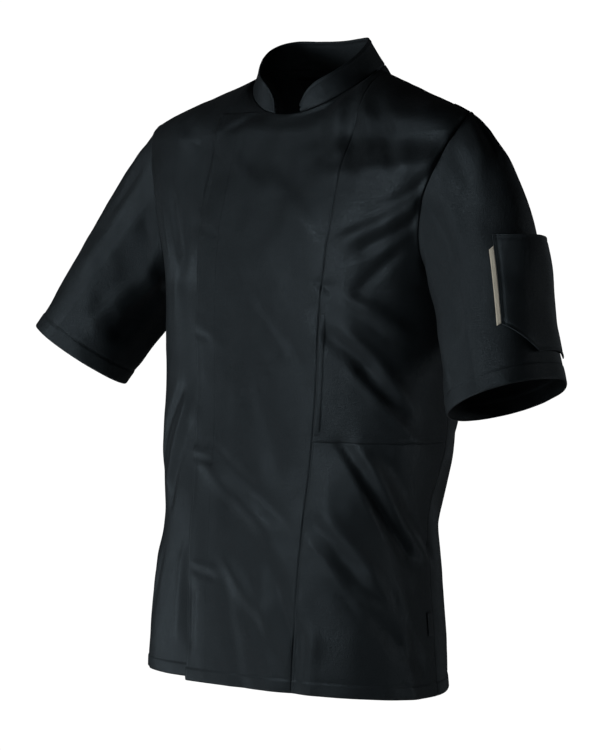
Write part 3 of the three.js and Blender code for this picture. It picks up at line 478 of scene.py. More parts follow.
# How the folds fade: over a share of the girth at the armhole, from a row up, and over rows at the top.
FADES = dict(
    broad=dict(rim=0.08, from_row=0.8, top=0.5),
    fine=dict(rim=0.05, from_row=0.85, top=0.2),
)


def faded(height, girth, row, rim, from_row, top):
    at_rim = mix(1, ease((1 - girth) / rim), ease((row - from_row) / (1 - from_row)))
    return height * at_rim * ease((3 - row) / top)


def body(face, column, row, lift=HEM_LIFT):
    """A point of the outside of the body's cloth, with its folds."""
    girth = girth_of(column, row)
    point = sided(smooth_body(face, girth, row), column)
    side = np.where(column < 0, -1, 1)
    share = girth * rim_of(face, row)
    turn = side * (share * 90 if face > 0 else 180 - share * 90)
    turns = [turn] if face > 0 else [turn, turn - 360 * side]
    broad = sum(fold_height(MAIN_FOLDS, PER_DEGREE, t, point[..., 2]) for t in turns)
    fine = sum(fold_height(CREASES, PER_DEGREE, t, point[..., 2]) for t in turns) + rumple(point, 5)
    height = faded(broad, girth, row, **FADES["broad"]) + faded(fine, girth, row, **FADES["fine"])
    point = point + smooth_normal(face, column, row) * height[..., None]
    point[..., 2] += lift * ease(-column) * ease(1 - row / 0.15)
    return point


CLOSEST = 0.3  # millimetres between the closest points of a panel


def spaced(start, end, length, step, near_start=(), near_end=()):
    """Even places from start to end, with more at the distances given from each end, in millimetres."""
    places = np.linspace(0, length, max(int(round(length / step)), 2) + 1)
    places = np.concatenate([places, near_start, length - np.array(near_end)])
    places = np.unique(np.round(places, 3))
    keep = np.append(np.diff(places) > CLOSEST, True)
    return start + (end - start) * places[keep] / length


SEAM_NEAR = (0.5, 1.2, 2.0, 3.0, 4.5)
HEM_WIDTH, SLEEVE_HEM_WIDTH, EDGE_STITCH = 16, 20, 2
HEM_NEAR = (0.7, 1.6, 3, HEM_WIDTH - 3, HEM_WIDTH - 1.2, HEM_WIDTH, HEM_WIDTH + 1.2, HEM_WIDTH + 3)


def grid_normals(points, turned, ring=False):
    """Outward normals of a grid of points; turned is 1 or -1."""
    if ring:
        padded = np.concatenate([points[:, -1:], points, points[:, :1]], 1)
        du = padded[:, 2:] - padded[:, :-2]
    else:
        du = np.gradient(points, axis=1)
    return turned * unit(np.cross(du, np.gradient(points, axis=0)))


def distances(points, ring=False):
    """How far each point of a grid lies from its four edges, along the cloth."""
    closed = np.concatenate([points, points[:, :1]], 1) if ring else points
    across = np.cumsum(np.linalg.norm(np.diff(closed, axis=1), axis=-1), 1)
    across = np.concatenate([np.zeros((len(points), 1)), across], 1)
    up = np.cumsum(np.linalg.norm(np.diff(points, axis=0), axis=-1), 0)
    up = np.concatenate([np.zeros((1, points.shape[1])), up], 0)
    span, height = across[:, -1:], up[-1:]
    across_points = across[:, : points.shape[1]]
    return dict(first=across_points, last=span - across_points, bottom=up, top=height - up, across=across)


# How each kind of edge is sewn, in millimetres: the turned-in layer's rise and where it ends, the drop at
# the edge and its width, the stitched line's place, drop and width, and how high and far puckers or the
# hem's own waves go.
SEWING = dict(
    seam=dict(drop=0.42, drop_width=1, pucker=0.5, reach=7),
    edge=dict(
        drop=0.8, drop_width=0.7, pucker=0.4, reach=8,
        layer=0.35, layer_end=EDGE_STITCH + 4.5, line=EDGE_STITCH, line_drop=0.5, line_width=0.8,
    ),
)
for kind, width in (("hem", HEM_WIDTH), ("sleeve_hem", SLEEVE_HEM_WIDTH)):
    SEWING[kind] = dict(
        drop=0.8, drop_width=0.8, wave=0.7,
        layer=0.7, layer_end=width, line=width, line_drop=0.6, line_width=1.3,
    )
LAYER_STEP = 3  # millimetres over which a turned-in layer ends


def sewn(panel, edges):
    """Gives a panel's edges the form of seams, stitched edges or hems, and drops its stitched lines."""
    points, far = panel["points"], panel["far"]
    height = np.zeros(points.shape[:2])
    pucker, waves = uneven(points, 10, 71), uneven(points, 16, 72)
    for edge, kind in edges.items():
        d, way = far[edge], SEWING[kind]
        height -= way["drop"] * np.exp(-((d / way["drop_width"]) ** 2))
        if "layer" in way:
            height += way["layer"] * ease((way["layer_end"] + LAYER_STEP / 2 - d) / LAYER_STEP)
            height -= way["line_drop"] * np.exp(-(((d - way["line"]) / way["line_width"]) ** 2))
        if "pucker" in way:
            height += way["pucker"] * pucker * np.exp(-d / way["reach"])
        if "wave" in way:
            height += way["wave"] * waves * np.exp(-((d / way["line"] - 0.5) ** 2))
    panel["points"] = points + panel["normals"] * height[..., None]
    return panel


def panel_of(points, turned, ring=False):
    """A grid of points with its outward normals and its distances from the edges."""
    normals = grid_normals(points, turned, ring)
    return dict(points=points, turned=turned, normals=normals, far=distances(points, ring))


EDGE_ROUNDING = 0.3  # how far the middle of a cut edge stands out, as a share of the cloth's thickness


def wall(name, panel, thickness, material, ring=False, drawn=""):
    """A closed shell from a grid of outer points, with its edges rounded and a map in metres."""
    outer = np.array(panel["points"])
    for edge, here, inwards in (
        ("bottom", np.s_[0, :], np.s_[1, :]),
        ("top", np.s_[-1, :], np.s_[-2, :]),
        ("first", np.s_[:, 0], np.s_[:, 1]),
        ("last", np.s_[:, -1], np.s_[:, -2]),
    ):
        if edge in drawn:
            outer[here] += unit(panel["points"][inwards] - panel["points"][here]) * SEAM_GAP / 2
    normals = grid_normals(outer, panel["turned"], ring).reshape(-1, 3)
    rows, columns = outer.shape[:2]
    wide, layer = columns + ring, rows * columns
    places = np.arange(layer).reshape(rows, columns)
    places = np.concatenate([places, places[:, : int(ring)]], 1)
    map_places = np.arange(rows * wide).reshape(rows, wide)

    def quads(grid):
        return np.stack([grid[:-1, :-1], grid[:-1, 1:], grid[1:, 1:], grid[1:, :-1]], -1).reshape(-1, 4)

    def rim(grid):
        """The starts and ends of the steps round the whole edge, or round both ends of a ring."""
        runs = [grid[0], grid[-1, ::-1]] if ring else [grid[0], grid[:, -1], grid[-1, ::-1], grid[::-1, 0]]
        return np.concatenate([run[:-1] for run in runs]), np.concatenate([run[1:] for run in runs])

    (a, b), (map_a, map_b) = rim(places), rim(map_places)
    outer = outer.reshape(-1, 3)
    inner = outer - normals * thickness
    edge = np.unique(a)
    middle_of = np.full(layer, -1)
    middle_of[edge] = 2 * layer + np.arange(len(edge))
    side = panel["turned"] * np.cross(unit(outer[b] - outer[a]), normals[a])
    away = np.zeros((layer, 3))
    np.add.at(away, a, side)
    np.add.at(away, b, side)
    middle = (outer[edge] + inner[edge]) / 2 + unit(away[edge]) * thickness * EDGE_ROUNDING
    points = np.concatenate([outer, inner, middle])
    sheet, sheet_map = quads(places), quads(map_places)
    outer_rim = np.stack([b, a, middle_of[a], middle_of[b]], 1)
    inner_rim = np.stack([middle_of[b], middle_of[a], a + layer, b + layer], 1)
    rim_map = np.stack([map_b, map_a, map_a, map_b], 1)
    faces = np.concatenate([sheet, sheet[:, ::-1] + layer, outer_rim, inner_rim])
    maps = np.concatenate([sheet_map, sheet_map[:, ::-1], rim_map, rim_map])
    corners = points[faces].swapaxes(0, 1)
    volume = (corners[0] * (np.cross(corners[1], corners[2]) + np.cross(corners[2], corners[3]))).sum()
    if volume < 0:
        faces, maps = faces[:, ::-1], maps[:, ::-1]
    mesh = bpy.data.meshes.new(name)
    mesh.from_pydata((points / 1000).tolist(), [], faces.tolist())
    up = panel["far"]["bottom"]
    up = np.concatenate([up, up[:, : int(ring)]], 1)
    flat = np.stack([panel["far"]["across"], up], -1).reshape(-1, 2)[maps.ravel()] / 1000
    mesh.uv_layers.new(name="cut").data.foreach_set("uv", flat.ravel())
    mesh.shade_smooth()
    mesh.materials.append(material)
    return new_object(name, mesh)


def run_beside(panel, edge, distance, low=-1e9, high=1e9):
    """A line on a panel at a distance from one of its edges, between two levels."""
    points, far = panel["points"], panel["far"][edge]
    normals = panel["normals"]
    if edge in ("first", "last"):
        points, far, normals = points.swapaxes(0, 1), far.T, normals.swapaxes(0, 1)
    if edge in ("last", "top"):
        points, far, normals = points[::-1], far[::-1], normals[::-1]
    line = []
    for j in range(far.shape[1]):
        i = int(np.clip(np.searchsorted(far[:, j], distance) - 1, 0, len(far) - 2))
        t = np.clip((distance - far[i, j]) / max(far[i + 1, j] - far[i, j], 1e-9), 0, 1)
        p, n = mix(points[i, j], points[i + 1, j], t), mix(normals[i, j], normals[i + 1, j], t)
        if low <= p[2] <= high and distance < far[-1, j]:
            line.append((p, n))
    return line


# Thread of the same black, in lock stitches that lie half sunk in the cloth. Each is a small ellipsoid,
# laid along its line and flat on the cloth.
STITCH_PITCH, STITCH_LENGTH, THREAD = 2.9, 2.3, 0.5
THREAD_STANDS = 0.15  # how far a stitch's middle stands out of the cloth, as a share of its thickness
stitch_maker = bpy.data.node_groups.new("lay_stitches", "GeometryNodeTree")
stitch_maker.interface.new_socket("Geometry", in_out="INPUT", socket_type="NodeSocketGeometry")
for socket in ("Stitch Length", "Thread Thickness"):
    stitch_maker.interface.new_socket(socket, in_out="INPUT", socket_type="NodeSocketFloat")
stitch_maker.interface.new_socket("Thread", in_out="INPUT", socket_type="NodeSocketMaterial")
stitch_maker.interface.new_socket("Geometry", in_out="OUTPUT", socket_type="NodeSocketGeometry")
given, thread_form, turns_of_run, turns_of_cloth, turned_along, sized, laid, real, smooth, dyed, result = (
    stitch_maker.nodes.new(kind)
    for kind in (
        "NodeGroupInput", "GeometryNodeMeshUVSphere", "GeometryNodeInputNamedAttribute",
        "GeometryNodeInputNamedAttribute", "FunctionNodeAxesToRotation", "ShaderNodeCombineXYZ",
        "GeometryNodeInstanceOnPoints", "GeometryNodeRealizeInstances", "GeometryNodeSetShadeSmooth",
        "GeometryNodeSetMaterial", "NodeGroupOutput",
    )
)
for name, value in (("Segments", 5), ("Rings", 4), ("Radius", 0.5)):
    thread_form.inputs[name].default_value = value
for named, attribute in ((turns_of_run, "run"), (turns_of_cloth, "out")):
    named.data_type = "FLOAT_VECTOR"
    named.inputs["Name"].default_value = attribute
turned_along.primary_axis, turned_along.secondary_axis = "X", "Z"
join(
    stitch_maker,
    [
        (given, "Geometry", laid, "Points"),
        (thread_form, "Mesh", laid, "Instance"),
        (turns_of_run, "Attribute", turned_along, "Primary Axis"),
        (turns_of_cloth, "Attribute", turned_along, "Secondary Axis"),
        (turned_along, "Rotation", laid, "Rotation"),
        (given, "Stitch Length", sized, "X"),
        (given, "Thread Thickness", sized, "Y"),
        (given, "Thread Thickness", sized, "Z"),
        (sized, "Vector", laid, "Scale"),
        (laid, "Instances", real, "Geometry"),
        (real, "Geometry", smooth, "Geometry"),
        (smooth, "Geometry", dyed, "Geometry"),
        (given, "Thread", dyed, "Material"),
        (dyed, "Geometry", result, "Geometry"),
    ],
)


def stitches(name, lines, pitch=STITCH_PITCH, length=STITCH_LENGTH, thread=THREAD):
    """Stitches of black thread along lines of (point, normal), as one mesh."""
    places, runs, outs = [], [], []
    for line in lines:
        if len(line) < 2:
            continue
        p, n = (np.array(v) for v in zip(*line))
        reach = np.concatenate([[0], np.cumsum(np.linalg.norm(np.diff(p, axis=0), axis=-1))])
        at = np.arange(pitch / 2, reach[-1], pitch)
        middle, behind, ahead, out = (
            np.stack([np.interp(run, reach, v[:, k]) for k in range(3)], -1)
            for run, v in ((at, p), (at - 1, p), (np.minimum(at + 1, reach[-1]), p), (at, n))
        )
        places.append(middle + unit(out) * thread * THREAD_STANDS)
        runs.append(unit(ahead - behind))
        outs.append(unit(out))
    places, runs, outs = (np.concatenate(v) for v in (places, runs, outs))
    mesh = bpy.data.meshes.new(name + "_places")
    mesh.from_pydata((places / 1000).tolist(), [], [])
    for attribute, values in (("run", runs), ("out", outs)):
        stored = mesh.attributes.new(attribute, "FLOAT_VECTOR", "POINT")
        stored.data.foreach_set("vector", values.ravel())
    marks = new_object(name + "_places", mesh)
    laying = marks.modifiers.new("lay", "NODES")
    laying.node_group = stitch_maker
    values = {"Stitch Length": length / 1000, "Thread Thickness": thread / 1000, "Thread": black_thread}
    for item in stitch_maker.interface.items_tree:
        if item.in_out == "INPUT" and item.name in values:
            laying[item.identifier] = values[item.name]
    seen = marks.evaluated_get(bpy.context.evaluated_depsgraph_get())
    made = bpy.data.meshes.new_from_object(seen)
    made.name = name
    for attribute in [a.name for a in made.attributes if a.name in ("run", "out")]:
        made.attributes.remove(made.attributes[attribute])
    marks.modifiers.remove(laying)
    bpy.data.objects.remove(marks)
    return new_object(name, made)


def shader_group(name, inputs, outputs):
    group = bpy.data.node_groups.new(name, "ShaderNodeTree")
    for socket, kind in inputs:
        group.interface.new_socket(socket, in_out="INPUT", socket_type=kind)
    for socket, kind in outputs:
        group.interface.new_socket(socket, in_out="OUTPUT", socket_type=kind)
    return group, group.nodes.new("NodeGroupInput"), group.nodes.new("NodeGroupOutput")


def maths(tree, operation, a, b=None, c=None):
    node = tree.nodes.new("ShaderNodeMath")
    node.operation = operation
    for socket, value in zip(node.inputs, (a, b, c)):
        if isinstance(value, bpy.types.NodeSocket):
            tree.links.new(value, socket)
        elif value is not None:
            socket.default_value = value
    return node.outputs[0]


# Twill has fine diagonal ribs, which the weft breaks into short steps. The ribs' pitch is in metres, on the
# cut's own map.
RIB_SLANT, WEFT_STEPS, STEP_HEIGHT = 1.6, 1.55, 0.3
twill, given, result = shader_group(
    "twill",
    [("Cut", "NodeSocketVector"), ("Rib", "NodeSocketFloat")],
    [("Height", "NodeSocketFloat")],
)
apart = twill.nodes.new("ShaderNodeSeparateXYZ")
twill.links.new(given.outputs["Cut"], apart.inputs[0])
across, along_cut = apart.outputs["X"], apart.outputs["Y"]
waves = []
for way, turns in (
    (maths(twill, "MULTIPLY_ADD", across, RIB_SLANT, along_cut), 1),
    (maths(twill, "SUBTRACT", along_cut, across), WEFT_STEPS),
):
    phase = maths(twill, "DIVIDE", way, given.outputs["Rib"])
    waves.append(maths(twill, "SINE", maths(twill, "MULTIPLY", phase, turns * 2 * math.pi)))
twill.links.new(maths(twill, "MULTIPLY_ADD", waves[1], STEP_HEIGHT, waves[0]), result.inputs["Height"])

# Worn cloth is a little uneven in colour and shine, from pressing and washing. It varies in broad patches
# and from fibre to fibre.
pressed, given, result = shader_group(
    "pressed",
    [("Place", "NodeSocketVector"), ("Patch", "NodeSocketFloat")],
    [("Patches", "NodeSocketFloat"), ("Fibres", "NodeSocketFloat")],
)
for output, scale, detail in (("Patches", 1.0, 3), ("Fibres", 22.0, 4)):
    noise = pressed.nodes.new("ShaderNodeTexNoise")
    noise.inputs["Detail"].default_value = detail
    pressed.links.new(given.outputs["Place"], noise.inputs["Vector"])
    pressed.links.new(maths(pressed, "DIVIDE", scale, given.outputs["Patch"]), noise.inputs["Scale"])
    pressed.links.new(noise.outputs["Fac"], result.inputs[output])


def placed(tree, group, size_name, size, place_name, place):
    """A shader group in a material, with its size in metres and its place on the piece."""
    node = tree.nodes.new("ShaderNodeGroup")
    node.node_tree = group
    node.inputs[size_name].default_value = size
    tree.links.new(place, node.inputs[place_name])
    return node.outputs


def worn(tree, patch):
    where = tree.nodes.new("ShaderNodeTexCoord")
    wear = placed(tree, pressed, "Patch", patch, "Place", where.outputs["Object"])
    return wear["Fibres"], wear["Patches"]


def two_shades(tree, share, dark, light, shader):
    """Colours the shader with a mixture of two shades."""
    colour = tree.nodes.new("ShaderNodeMix")
    colour.data_type = "RGBA"
    colour.inputs[6].default_value = (*dark, 1)
    colour.inputs[7].default_value = (*light, 1)
    tree.links.new(share, colour.inputs[0])
    tree.links.new(colour.outputs[2], shader.inputs["Base Color"])


PATCH, FIBRES_IN_SHADE, MATT_FIBRES, MATT_PATCHES, FUZZ, FUZZ_DEPTH = 0.045, 0.6, 0.5, 0.16, 8, 0.0005


def cloth_material(name, dark, light, roughness, rib, bump, sheen):
    """Woven cloth, by the two shades it varies between, and its ribs' pitch and height."""
    material, tree, shader = new_material(name)
    for socket, value in (
        ("Sheen Weight", sheen),
        ("Sheen Roughness", 0.45),
        ("Sheen Tint", (0.86, 0.94, 1, 1)),
        ("Specular IOR Level", 0.4),
        ("Specular Tint", (0.66, 0.86, 1, 1)),
    ):
        shader.inputs[socket].default_value = value
    uv = tree.nodes.new("ShaderNodeUVMap")
    uv.uv_map = "cut"
    weave = placed(tree, twill, "Rib", rib, "Cut", uv.outputs["UV"])
    fibres, patches = worn(tree, PATCH)

    def both(of_fibres, of_patches):
        return maths(tree, "MULTIPLY_ADD", fibres, of_fibres, maths(tree, "MULTIPLY", patches, of_patches))

    two_shades(tree, both(FIBRES_IN_SHADE, 1 - FIBRES_IN_SHADE), dark, light, shader)
    matt = maths(tree, "ADD", both(MATT_FIBRES, MATT_PATCHES), roughness - (MATT_FIBRES + MATT_PATCHES) / 2)
    tree.links.new(matt, shader.inputs["Roughness"])
    raised = tree.nodes.new("ShaderNodeBump")
    raised.inputs["Strength"].default_value = bump
    raised.inputs["Distance"].default_value = FUZZ_DEPTH
    tree.links.new(maths(tree, "MULTIPLY_ADD", fibres, FUZZ, weave["Height"]), raised.inputs["Height"])
    tree.links.new(raised.outputs["Normal"], shader.inputs["Normal"])
    return material


black_twill = cloth_material(
    "black_twill",
    (0.0025, 0.003, 0.0034),
    (0.0065, 0.0078, 0.0088),
    roughness=0.52,
    rib=0.0009,
    bump=0.35,
    sheen=0.02,
)
black_thread = cloth_material(
    "black_thread",
    (0.006, 0.007, 0.008),
    (0.014, 0.017, 0.019),
    roughness=0.5,
    rib=0.0003,
    bump=0.2,
    sheen=0.1,
)


def body_panel(face, columns, rows, edges, row_of=None, depth=None, lift=HEM_LIFT):
    """A panel of the body's cloth, by its columns and rows."""
    column, row = np.meshgrid(columns, rows)
    if row_of is not None:
        row = row_of(column, row)
    panel = panel_of(body(face, column, row, lift), face)
    if depth is not None:
        panel["points"] = panel["points"] - panel["normals"] * depth(column, row)[..., None]
        panel["far"] = distances(panel["points"])
    return sewn(panel, edges)


def moving(piece, sewing):
    """A piece and what is sewn on it move with the jacket."""
    for each in (piece, *sewing):
        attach(each, "root")


BODY_RUNS = [0, 474, 661, 751]  # millimetres from the hem up to rows 0, 1, 2 and 3
ARMPIT_CLEAR = 1.06  # between row 1 and this one the armhole is too level for more rows


def rows_between(low, high, near_low=(), near_high=(), step=3.4):
    """Rows of points, with more near both ends."""
    mm_of = lambda row: np.interp(row, range(4), BODY_RUNS)
    row_of = lambda mm: np.interp(mm, BODY_RUNS, range(4))
    rows = [np.linspace(k, k + 1, int(mm / step) + 1) for k, mm in enumerate(np.diff(BODY_RUNS))]
    rows = np.concatenate(rows)
    rows = rows[((rows <= 1) | (rows > ARMPIT_CLEAR)) & (rows > low) & (rows < high)]
    near = [row_of(mm_of(low) + np.array(near_low)), row_of(mm_of(high) - np.array(near_high))]
    rows = np.unique(np.round(np.concatenate([rows, *near, [low, high]]), 6))
    keep = np.append(np.diff(mm_of(rows)) > 0.35, True)
    keep[0] = True
    return rows[keep]


def row_below(column, level):
    """The row at which the cloth reaches a level, above the yoke level."""

    def found(c):
        target = level(c)
        return solve(lambda r: smooth_body(1, girth_of(c, r), r)[..., 2], target, 2, 3)

    return by_value(found, column)


def level_topped(side, level):
    """Rows for a front that stops short of the shoulder on one side, level and clear of the collar."""
    neck = float(neckline(0)[2])

    def row_of(column, row):
        beyond = side * np.maximum(side * column, 0)
        top = row_below(beyond, lambda c: mix(neck, level, ease(side * c / 0.2)))
        return np.where((row > 2) & (side * column > 0), 2 + (row - 2) * (top - 2), row)

    return row_of


LAP_SPAN, LAP_NEAR = 98, (0.5, 1.2, 2.0, 2.8, 4, 6)
plastron_columns = np.concatenate(
    [spaced(-1, 0, LAP_SPAN, 3.2, LAP_NEAR)[:-1], spaced(0, 1, LAP_SPAN, 3.2, (), SEAM_NEAR)]
)
plastron_panel = body_panel(
    1,
    plastron_columns,
    rows_between(0, 3, HEM_NEAR, SEAM_NEAR),
    dict(first="edge", last="seam", bottom="hem", top="seam"),
    row_of=level_topped(-1, LAP_TOP_LEVEL),
    lift=0,
)
plastron = wall("plastron", plastron_panel, CLOTH, black_twill, drawn="top last")
PLACKET_WIDTH = 35
plastron_stitches = stitches(
    "plastron_stitches",
    [
        run_beside(plastron_panel, "first", EDGE_STITCH),
        run_beside(plastron_panel, "first", PLACKET_WIDTH, high=-70),
        run_beside(plastron_panel, "last", EDGE_STITCH),
        run_beside(plastron_panel, "bottom", HEM_WIDTH),
    ],
)
moving(plastron, [plastron_stitches])
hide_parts("front_plastron")
parts = [plastron_stitches]

# The right front is one panel. It runs on below the lapped front as far as the far row of studs, and is
# sewn to the back at the side and the shoulder and to the right sleeve round the armhole.
STUD_GAP, UNDERLAP, UNDERLAP_TOP_LEVEL, UNDERLAP_EASE, NECK_DEPTH = 2.6, 0.8, -57, 70, 2


def under_depth(column, row):
    """How far the right front sinks, to pass under the lapped front."""
    x = smooth_body(1, girth_of(column, row), row)[..., 0] * np.sign(column)
    start = -along(LAP, "x", row_level(1, 0.3, np.minimum(row, 2))) - UNDERLAP_EASE
    below = (CLOTH + STUD_GAP) * ease((x - start) / UNDERLAP_EASE)
    at_neck = np.where(column > 0, 1, ease((NECK_COLUMN + column) / (NECK_COLUMN * 0.6))) * NECK_DEPTH
    at_neck = np.where(column < -NECK_COLUMN, 0, at_neck)
    return np.where(row <= 2, below, mix(below, at_neck, ease(row - 2)))


SIDE_SPAN = 140
right_columns = np.concatenate(
    [
        spaced(-2, -1, SIDE_SPAN, 3.4, SEAM_NEAR)[:-1],
        spaced(-1, 0, LAP_SPAN, 4.5)[:-1],
        spaced(0, UNDERLAP, LAP_SPAN * UNDERLAP, 5),
    ]
)
right_panel = body_panel(
    1,
    right_columns,
    rows_between(0, 3, HEM_NEAR, SEAM_NEAR),
    dict(first="seam", bottom="hem", top="seam"),
    row_of=level_topped(1, UNDERLAP_TOP_LEVEL),
    depth=under_depth,
)
right_front = wall("right_front", right_panel, CLOTH, black_twill, drawn="top first")
right_stitches = stitches("right_front_stitches", [run_beside(right_panel, "bottom", HEM_WIDTH)])
moving(right_front, [right_stitches])
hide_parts("front_right")

# The left side panel is cut in two. A level seam with two rows of stitching joins its upper piece to the
# lower one, and the mouth of an inside pocket is left open in the front seam above it, between bars.
POCKET_SEAM_ROW = 15 / 24
side_columns = spaced(1, 2, SIDE_SPAN, 3.2, SEAM_NEAR + (6, 7, 8), SEAM_NEAR)
lower_panel = body_panel(
    1,
    side_columns,
    rows_between(0, POCKET_SEAM_ROW, HEM_NEAR, SEAM_NEAR),
    dict(first="seam", last="seam", bottom="hem", top="seam"),
)
upper_panel = body_panel(
    1,
    side_columns,
    rows_between(POCKET_SEAM_ROW, 3, SEAM_NEAR + (6, 7, 8), SEAM_NEAR),
    dict(first="seam", last="seam", bottom="seam", top="seam"),
)
MOUTH_TOP, MOUTH_BOTTOM, MOUTH_STRIP, MOUTH_RISE, MOUTH_DROP, SECOND_ROW = -288, -430, 7, 0.7, 0.9, 7.5
BAR_ROWS, BAR_REACH = (-0.8, 0, 0.8), (0.4, MOUTH_STRIP + 2)
level, off = upper_panel["points"][..., 2], upper_panel["far"]["first"]
in_mouth = ease((level - MOUTH_BOTTOM) / 6) * ease((MOUTH_TOP - level) / 6)
welt = MOUTH_RISE * ease((MOUTH_STRIP + 1 - off) / 1.5) - MOUTH_DROP * np.exp(-((off / 1.2) ** 2))
upper_panel["points"] += upper_panel["normals"] * (in_mouth * welt)[..., None]
side_lower = wall("side_lower", lower_panel, CLOTH, black_twill, drawn="top first last")
side_upper = wall("side_upper", upper_panel, CLOTH, black_twill, drawn="bottom top first last")
lower_stitches = stitches(
    "side_lower_stitches",
    [run_beside(lower_panel, "bottom", HEM_WIDTH), run_beside(lower_panel, "first", EDGE_STITCH)],
)
upper_stitches = stitches(
    "side_upper_stitches",
    [
        run_beside(upper_panel, "bottom", EDGE_STITCH),
        run_beside(upper_panel, "bottom", SECOND_ROW),
        run_beside(upper_panel, "first", MOUTH_STRIP, MOUTH_BOTTOM, MOUTH_TOP),
    ],
)


def bar_across(panel, level, start, end):
    """A line across a panel at a level, between two distances from its first edge."""
    line = []
    for j in np.flatnonzero((panel["far"]["first"][0] >= start) & (panel["far"]["first"][0] <= end)):
        rising = panel["points"][:, j, 2]
        point, normal = (
            np.array([np.interp(level, rising, v[:, j, k]) for k in range(3)])
            for v in (panel["points"], panel["normals"])
        )
        line.append((point, normal))
    return line


bars = [
    bar_across(upper_panel, level + by, *BAR_REACH)
    for level in (MOUTH_TOP, MOUTH_BOTTOM)
    for by in BAR_ROWS
]
mouth_bars = stitches("pocket_bars", bars, pitch=1.3, length=1.6, thread=0.6)
for piece, node, parts, cut, area in (
    (side_lower, "side_front_left_lower", [lower_stitches], (0.235, 0.3), None),
    (side_upper, "side_front_left_upper", [upper_stitches, mouth_bars], (0.235, 0.42), 0.066),
):
    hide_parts(node)
    moving(piece, parts)

# The back is one wide panel of the same twill, plainly finished. It is sewn to the fronts at the sides and
# the shoulders, and has the same hem.
back_columns = np.concatenate(
    [
        spaced(-2, -1, SIDE_SPAN, 3.6, SEAM_NEAR)[:-1],
        spaced(-1, 1, 2 * LAP_SPAN, 4)[:-1],
        spaced(1, 2, SIDE_SPAN, 3.6, (), SEAM_NEAR),
    ]
)
back_panel = body_panel(
    -1,
    back_columns,
    rows_between(0, 3, HEM_NEAR, SEAM_NEAR, step=3.8),
    dict(first="seam", last="seam", bottom="hem", top="seam"),
)
back = wall("back_panel", back_panel, CLOTH, black_twill, drawn="top first last")
back_stitches = stitches("back_stitches", [run_beside(back_panel, "bottom", HEM_WIDTH)])
moving(back, [back_stitches])
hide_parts("back")

# The two short sleeves are set into the armholes. Each is cut in one piece, sewn along its underside and
# hemmed, and hangs as if round an arm. Folds are placed by the armhole's turn and the way along.
SLEEVE_DROP, SLEEVE_SPAN, SLEEVE_PER_DEGREE, SLEEVE_EASE, SLEEVE_ARRIVES = 300, 440, 1.2, 0.95, 0.9
SLEEVE_STEP, SMOOTH_AT_ARMHOLE = 3.2, 0.12
SLEEVES = dict(
    left=dict(
        side=1,
        cuff=(312, -82, -384),
        facing=(0.361, -0.154, -0.92),
        wide=71,
        deep=66,
        leaves_top=(0.86, -0.1, -0.5),
        leaves_below=(0.5, -0.2, -0.84),
        folds=[
            (10, 12, 16, 52, 8, -3.5),
            (-12, 10, -6, 48, 8, -2.5),
            (34, 14, 40, 60, 10, 2),
            (104, 40, 100, 175, 11, -3),
            (128, 60, 122, 240, 12, 3.5),
            (154, 30, 150, 190, 13, -5),
            (204, 70, 206, 250, 14, 3),
            (234, 34, 238, 200, 14, -4),
            (266, 50, 260, 190, 12, 3),
            (300, 20, 306, 120, 12, -2.5),
        ],
        creases=[
            (0, 8, 4, 34, 4, 1.2),
            (22, 8, 30, 46, 5, 1.4),
            (46, 10, 50, 50, 5, -1.2),
            (70, 16, 72, 90, 7, 1.4),
            (86, 20, 84, 110, 6, -1.5),
            (116, 40, 112, 150, 6, 1.4),
            (138, 60, 140, 200, 6, -1.6),
        ],
    ),
    right=dict(
        side=-1,
        cuff=(-312, -82, -347),
        facing=(-0.467, -0.273, -0.84),
        wide=70,
        deep=66,
        leaves_top=(0.72, -0.1, -0.68),
        leaves_below=(0.5, -0.2, -0.84),
        folds=[
            (14, 14, 8, 60, 9, -2.5),
            (60, 30, 66, 150, 14, 2.5),
            (98, 36, 104, 170, 12, -3),
            (124, 60, 116, 210, 12, 3),
            (152, 34, 146, 180, 12, -4.5),
            (200, 60, 208, 230, 14, 3),
            (232, 30, 228, 190, 13, -4),
            (262, 60, 268, 200, 13, 3),
            (318, 24, 312, 130, 14, -2.5),
        ],
        creases=[
            (30, 10, 36, 60, 6, 1.2),
            (48, 12, 50, 80, 6, -1.2),
            (78, 20, 84, 120, 7, 1.4),
            (110, 50, 108, 190, 6, -1.4),
            (136, 40, 130, 150, 6, 1.4),
        ],
    ),
)
for sleeve in SLEEVES.values():
    facing = unit(np.array(sleeve["facing"]))
    across = np.array([sleeve["side"], 0, 0])
    across = unit(across - facing * facing.dot(across))
    sleeve["facing"], sleeve["across"] = facing, across
    sleeve["ahead"] = unit(np.cross(facing, across)) * sleeve["side"]


def smooth_sleeve(sleeve, turn, reach):
    """A sleeve without folds. turn is the armhole's and reach runs from 0 there to 1 at its end."""
    turn, reach = np.broadcast_arrays(np.asarray(turn, float), np.asarray(reach, float))
    a = np.radians(turn)[..., None]
    root = armhole(turn)
    root[..., 0] *= sleeve["side"]
    end = sleeve["cuff"] + sleeve["across"] * sleeve["wide"] * np.cos(a)
    end = end + sleeve["ahead"] * sleeve["deep"] * np.sin(a)
    length = np.linalg.norm(end - root, axis=-1, keepdims=True)
    leaving = mix(np.array(sleeve["leaves_below"]), np.array(sleeve["leaves_top"]), (1 + np.cos(a)) / 2)
    leaving = leaving * np.array([sleeve["side"], 1, 1])
    arriving = sleeve["facing"] * length * SLEEVE_ARRIVES
    return hermite(root, unit(leaving) * length * SLEEVE_EASE, end, arriving, reach[..., None])


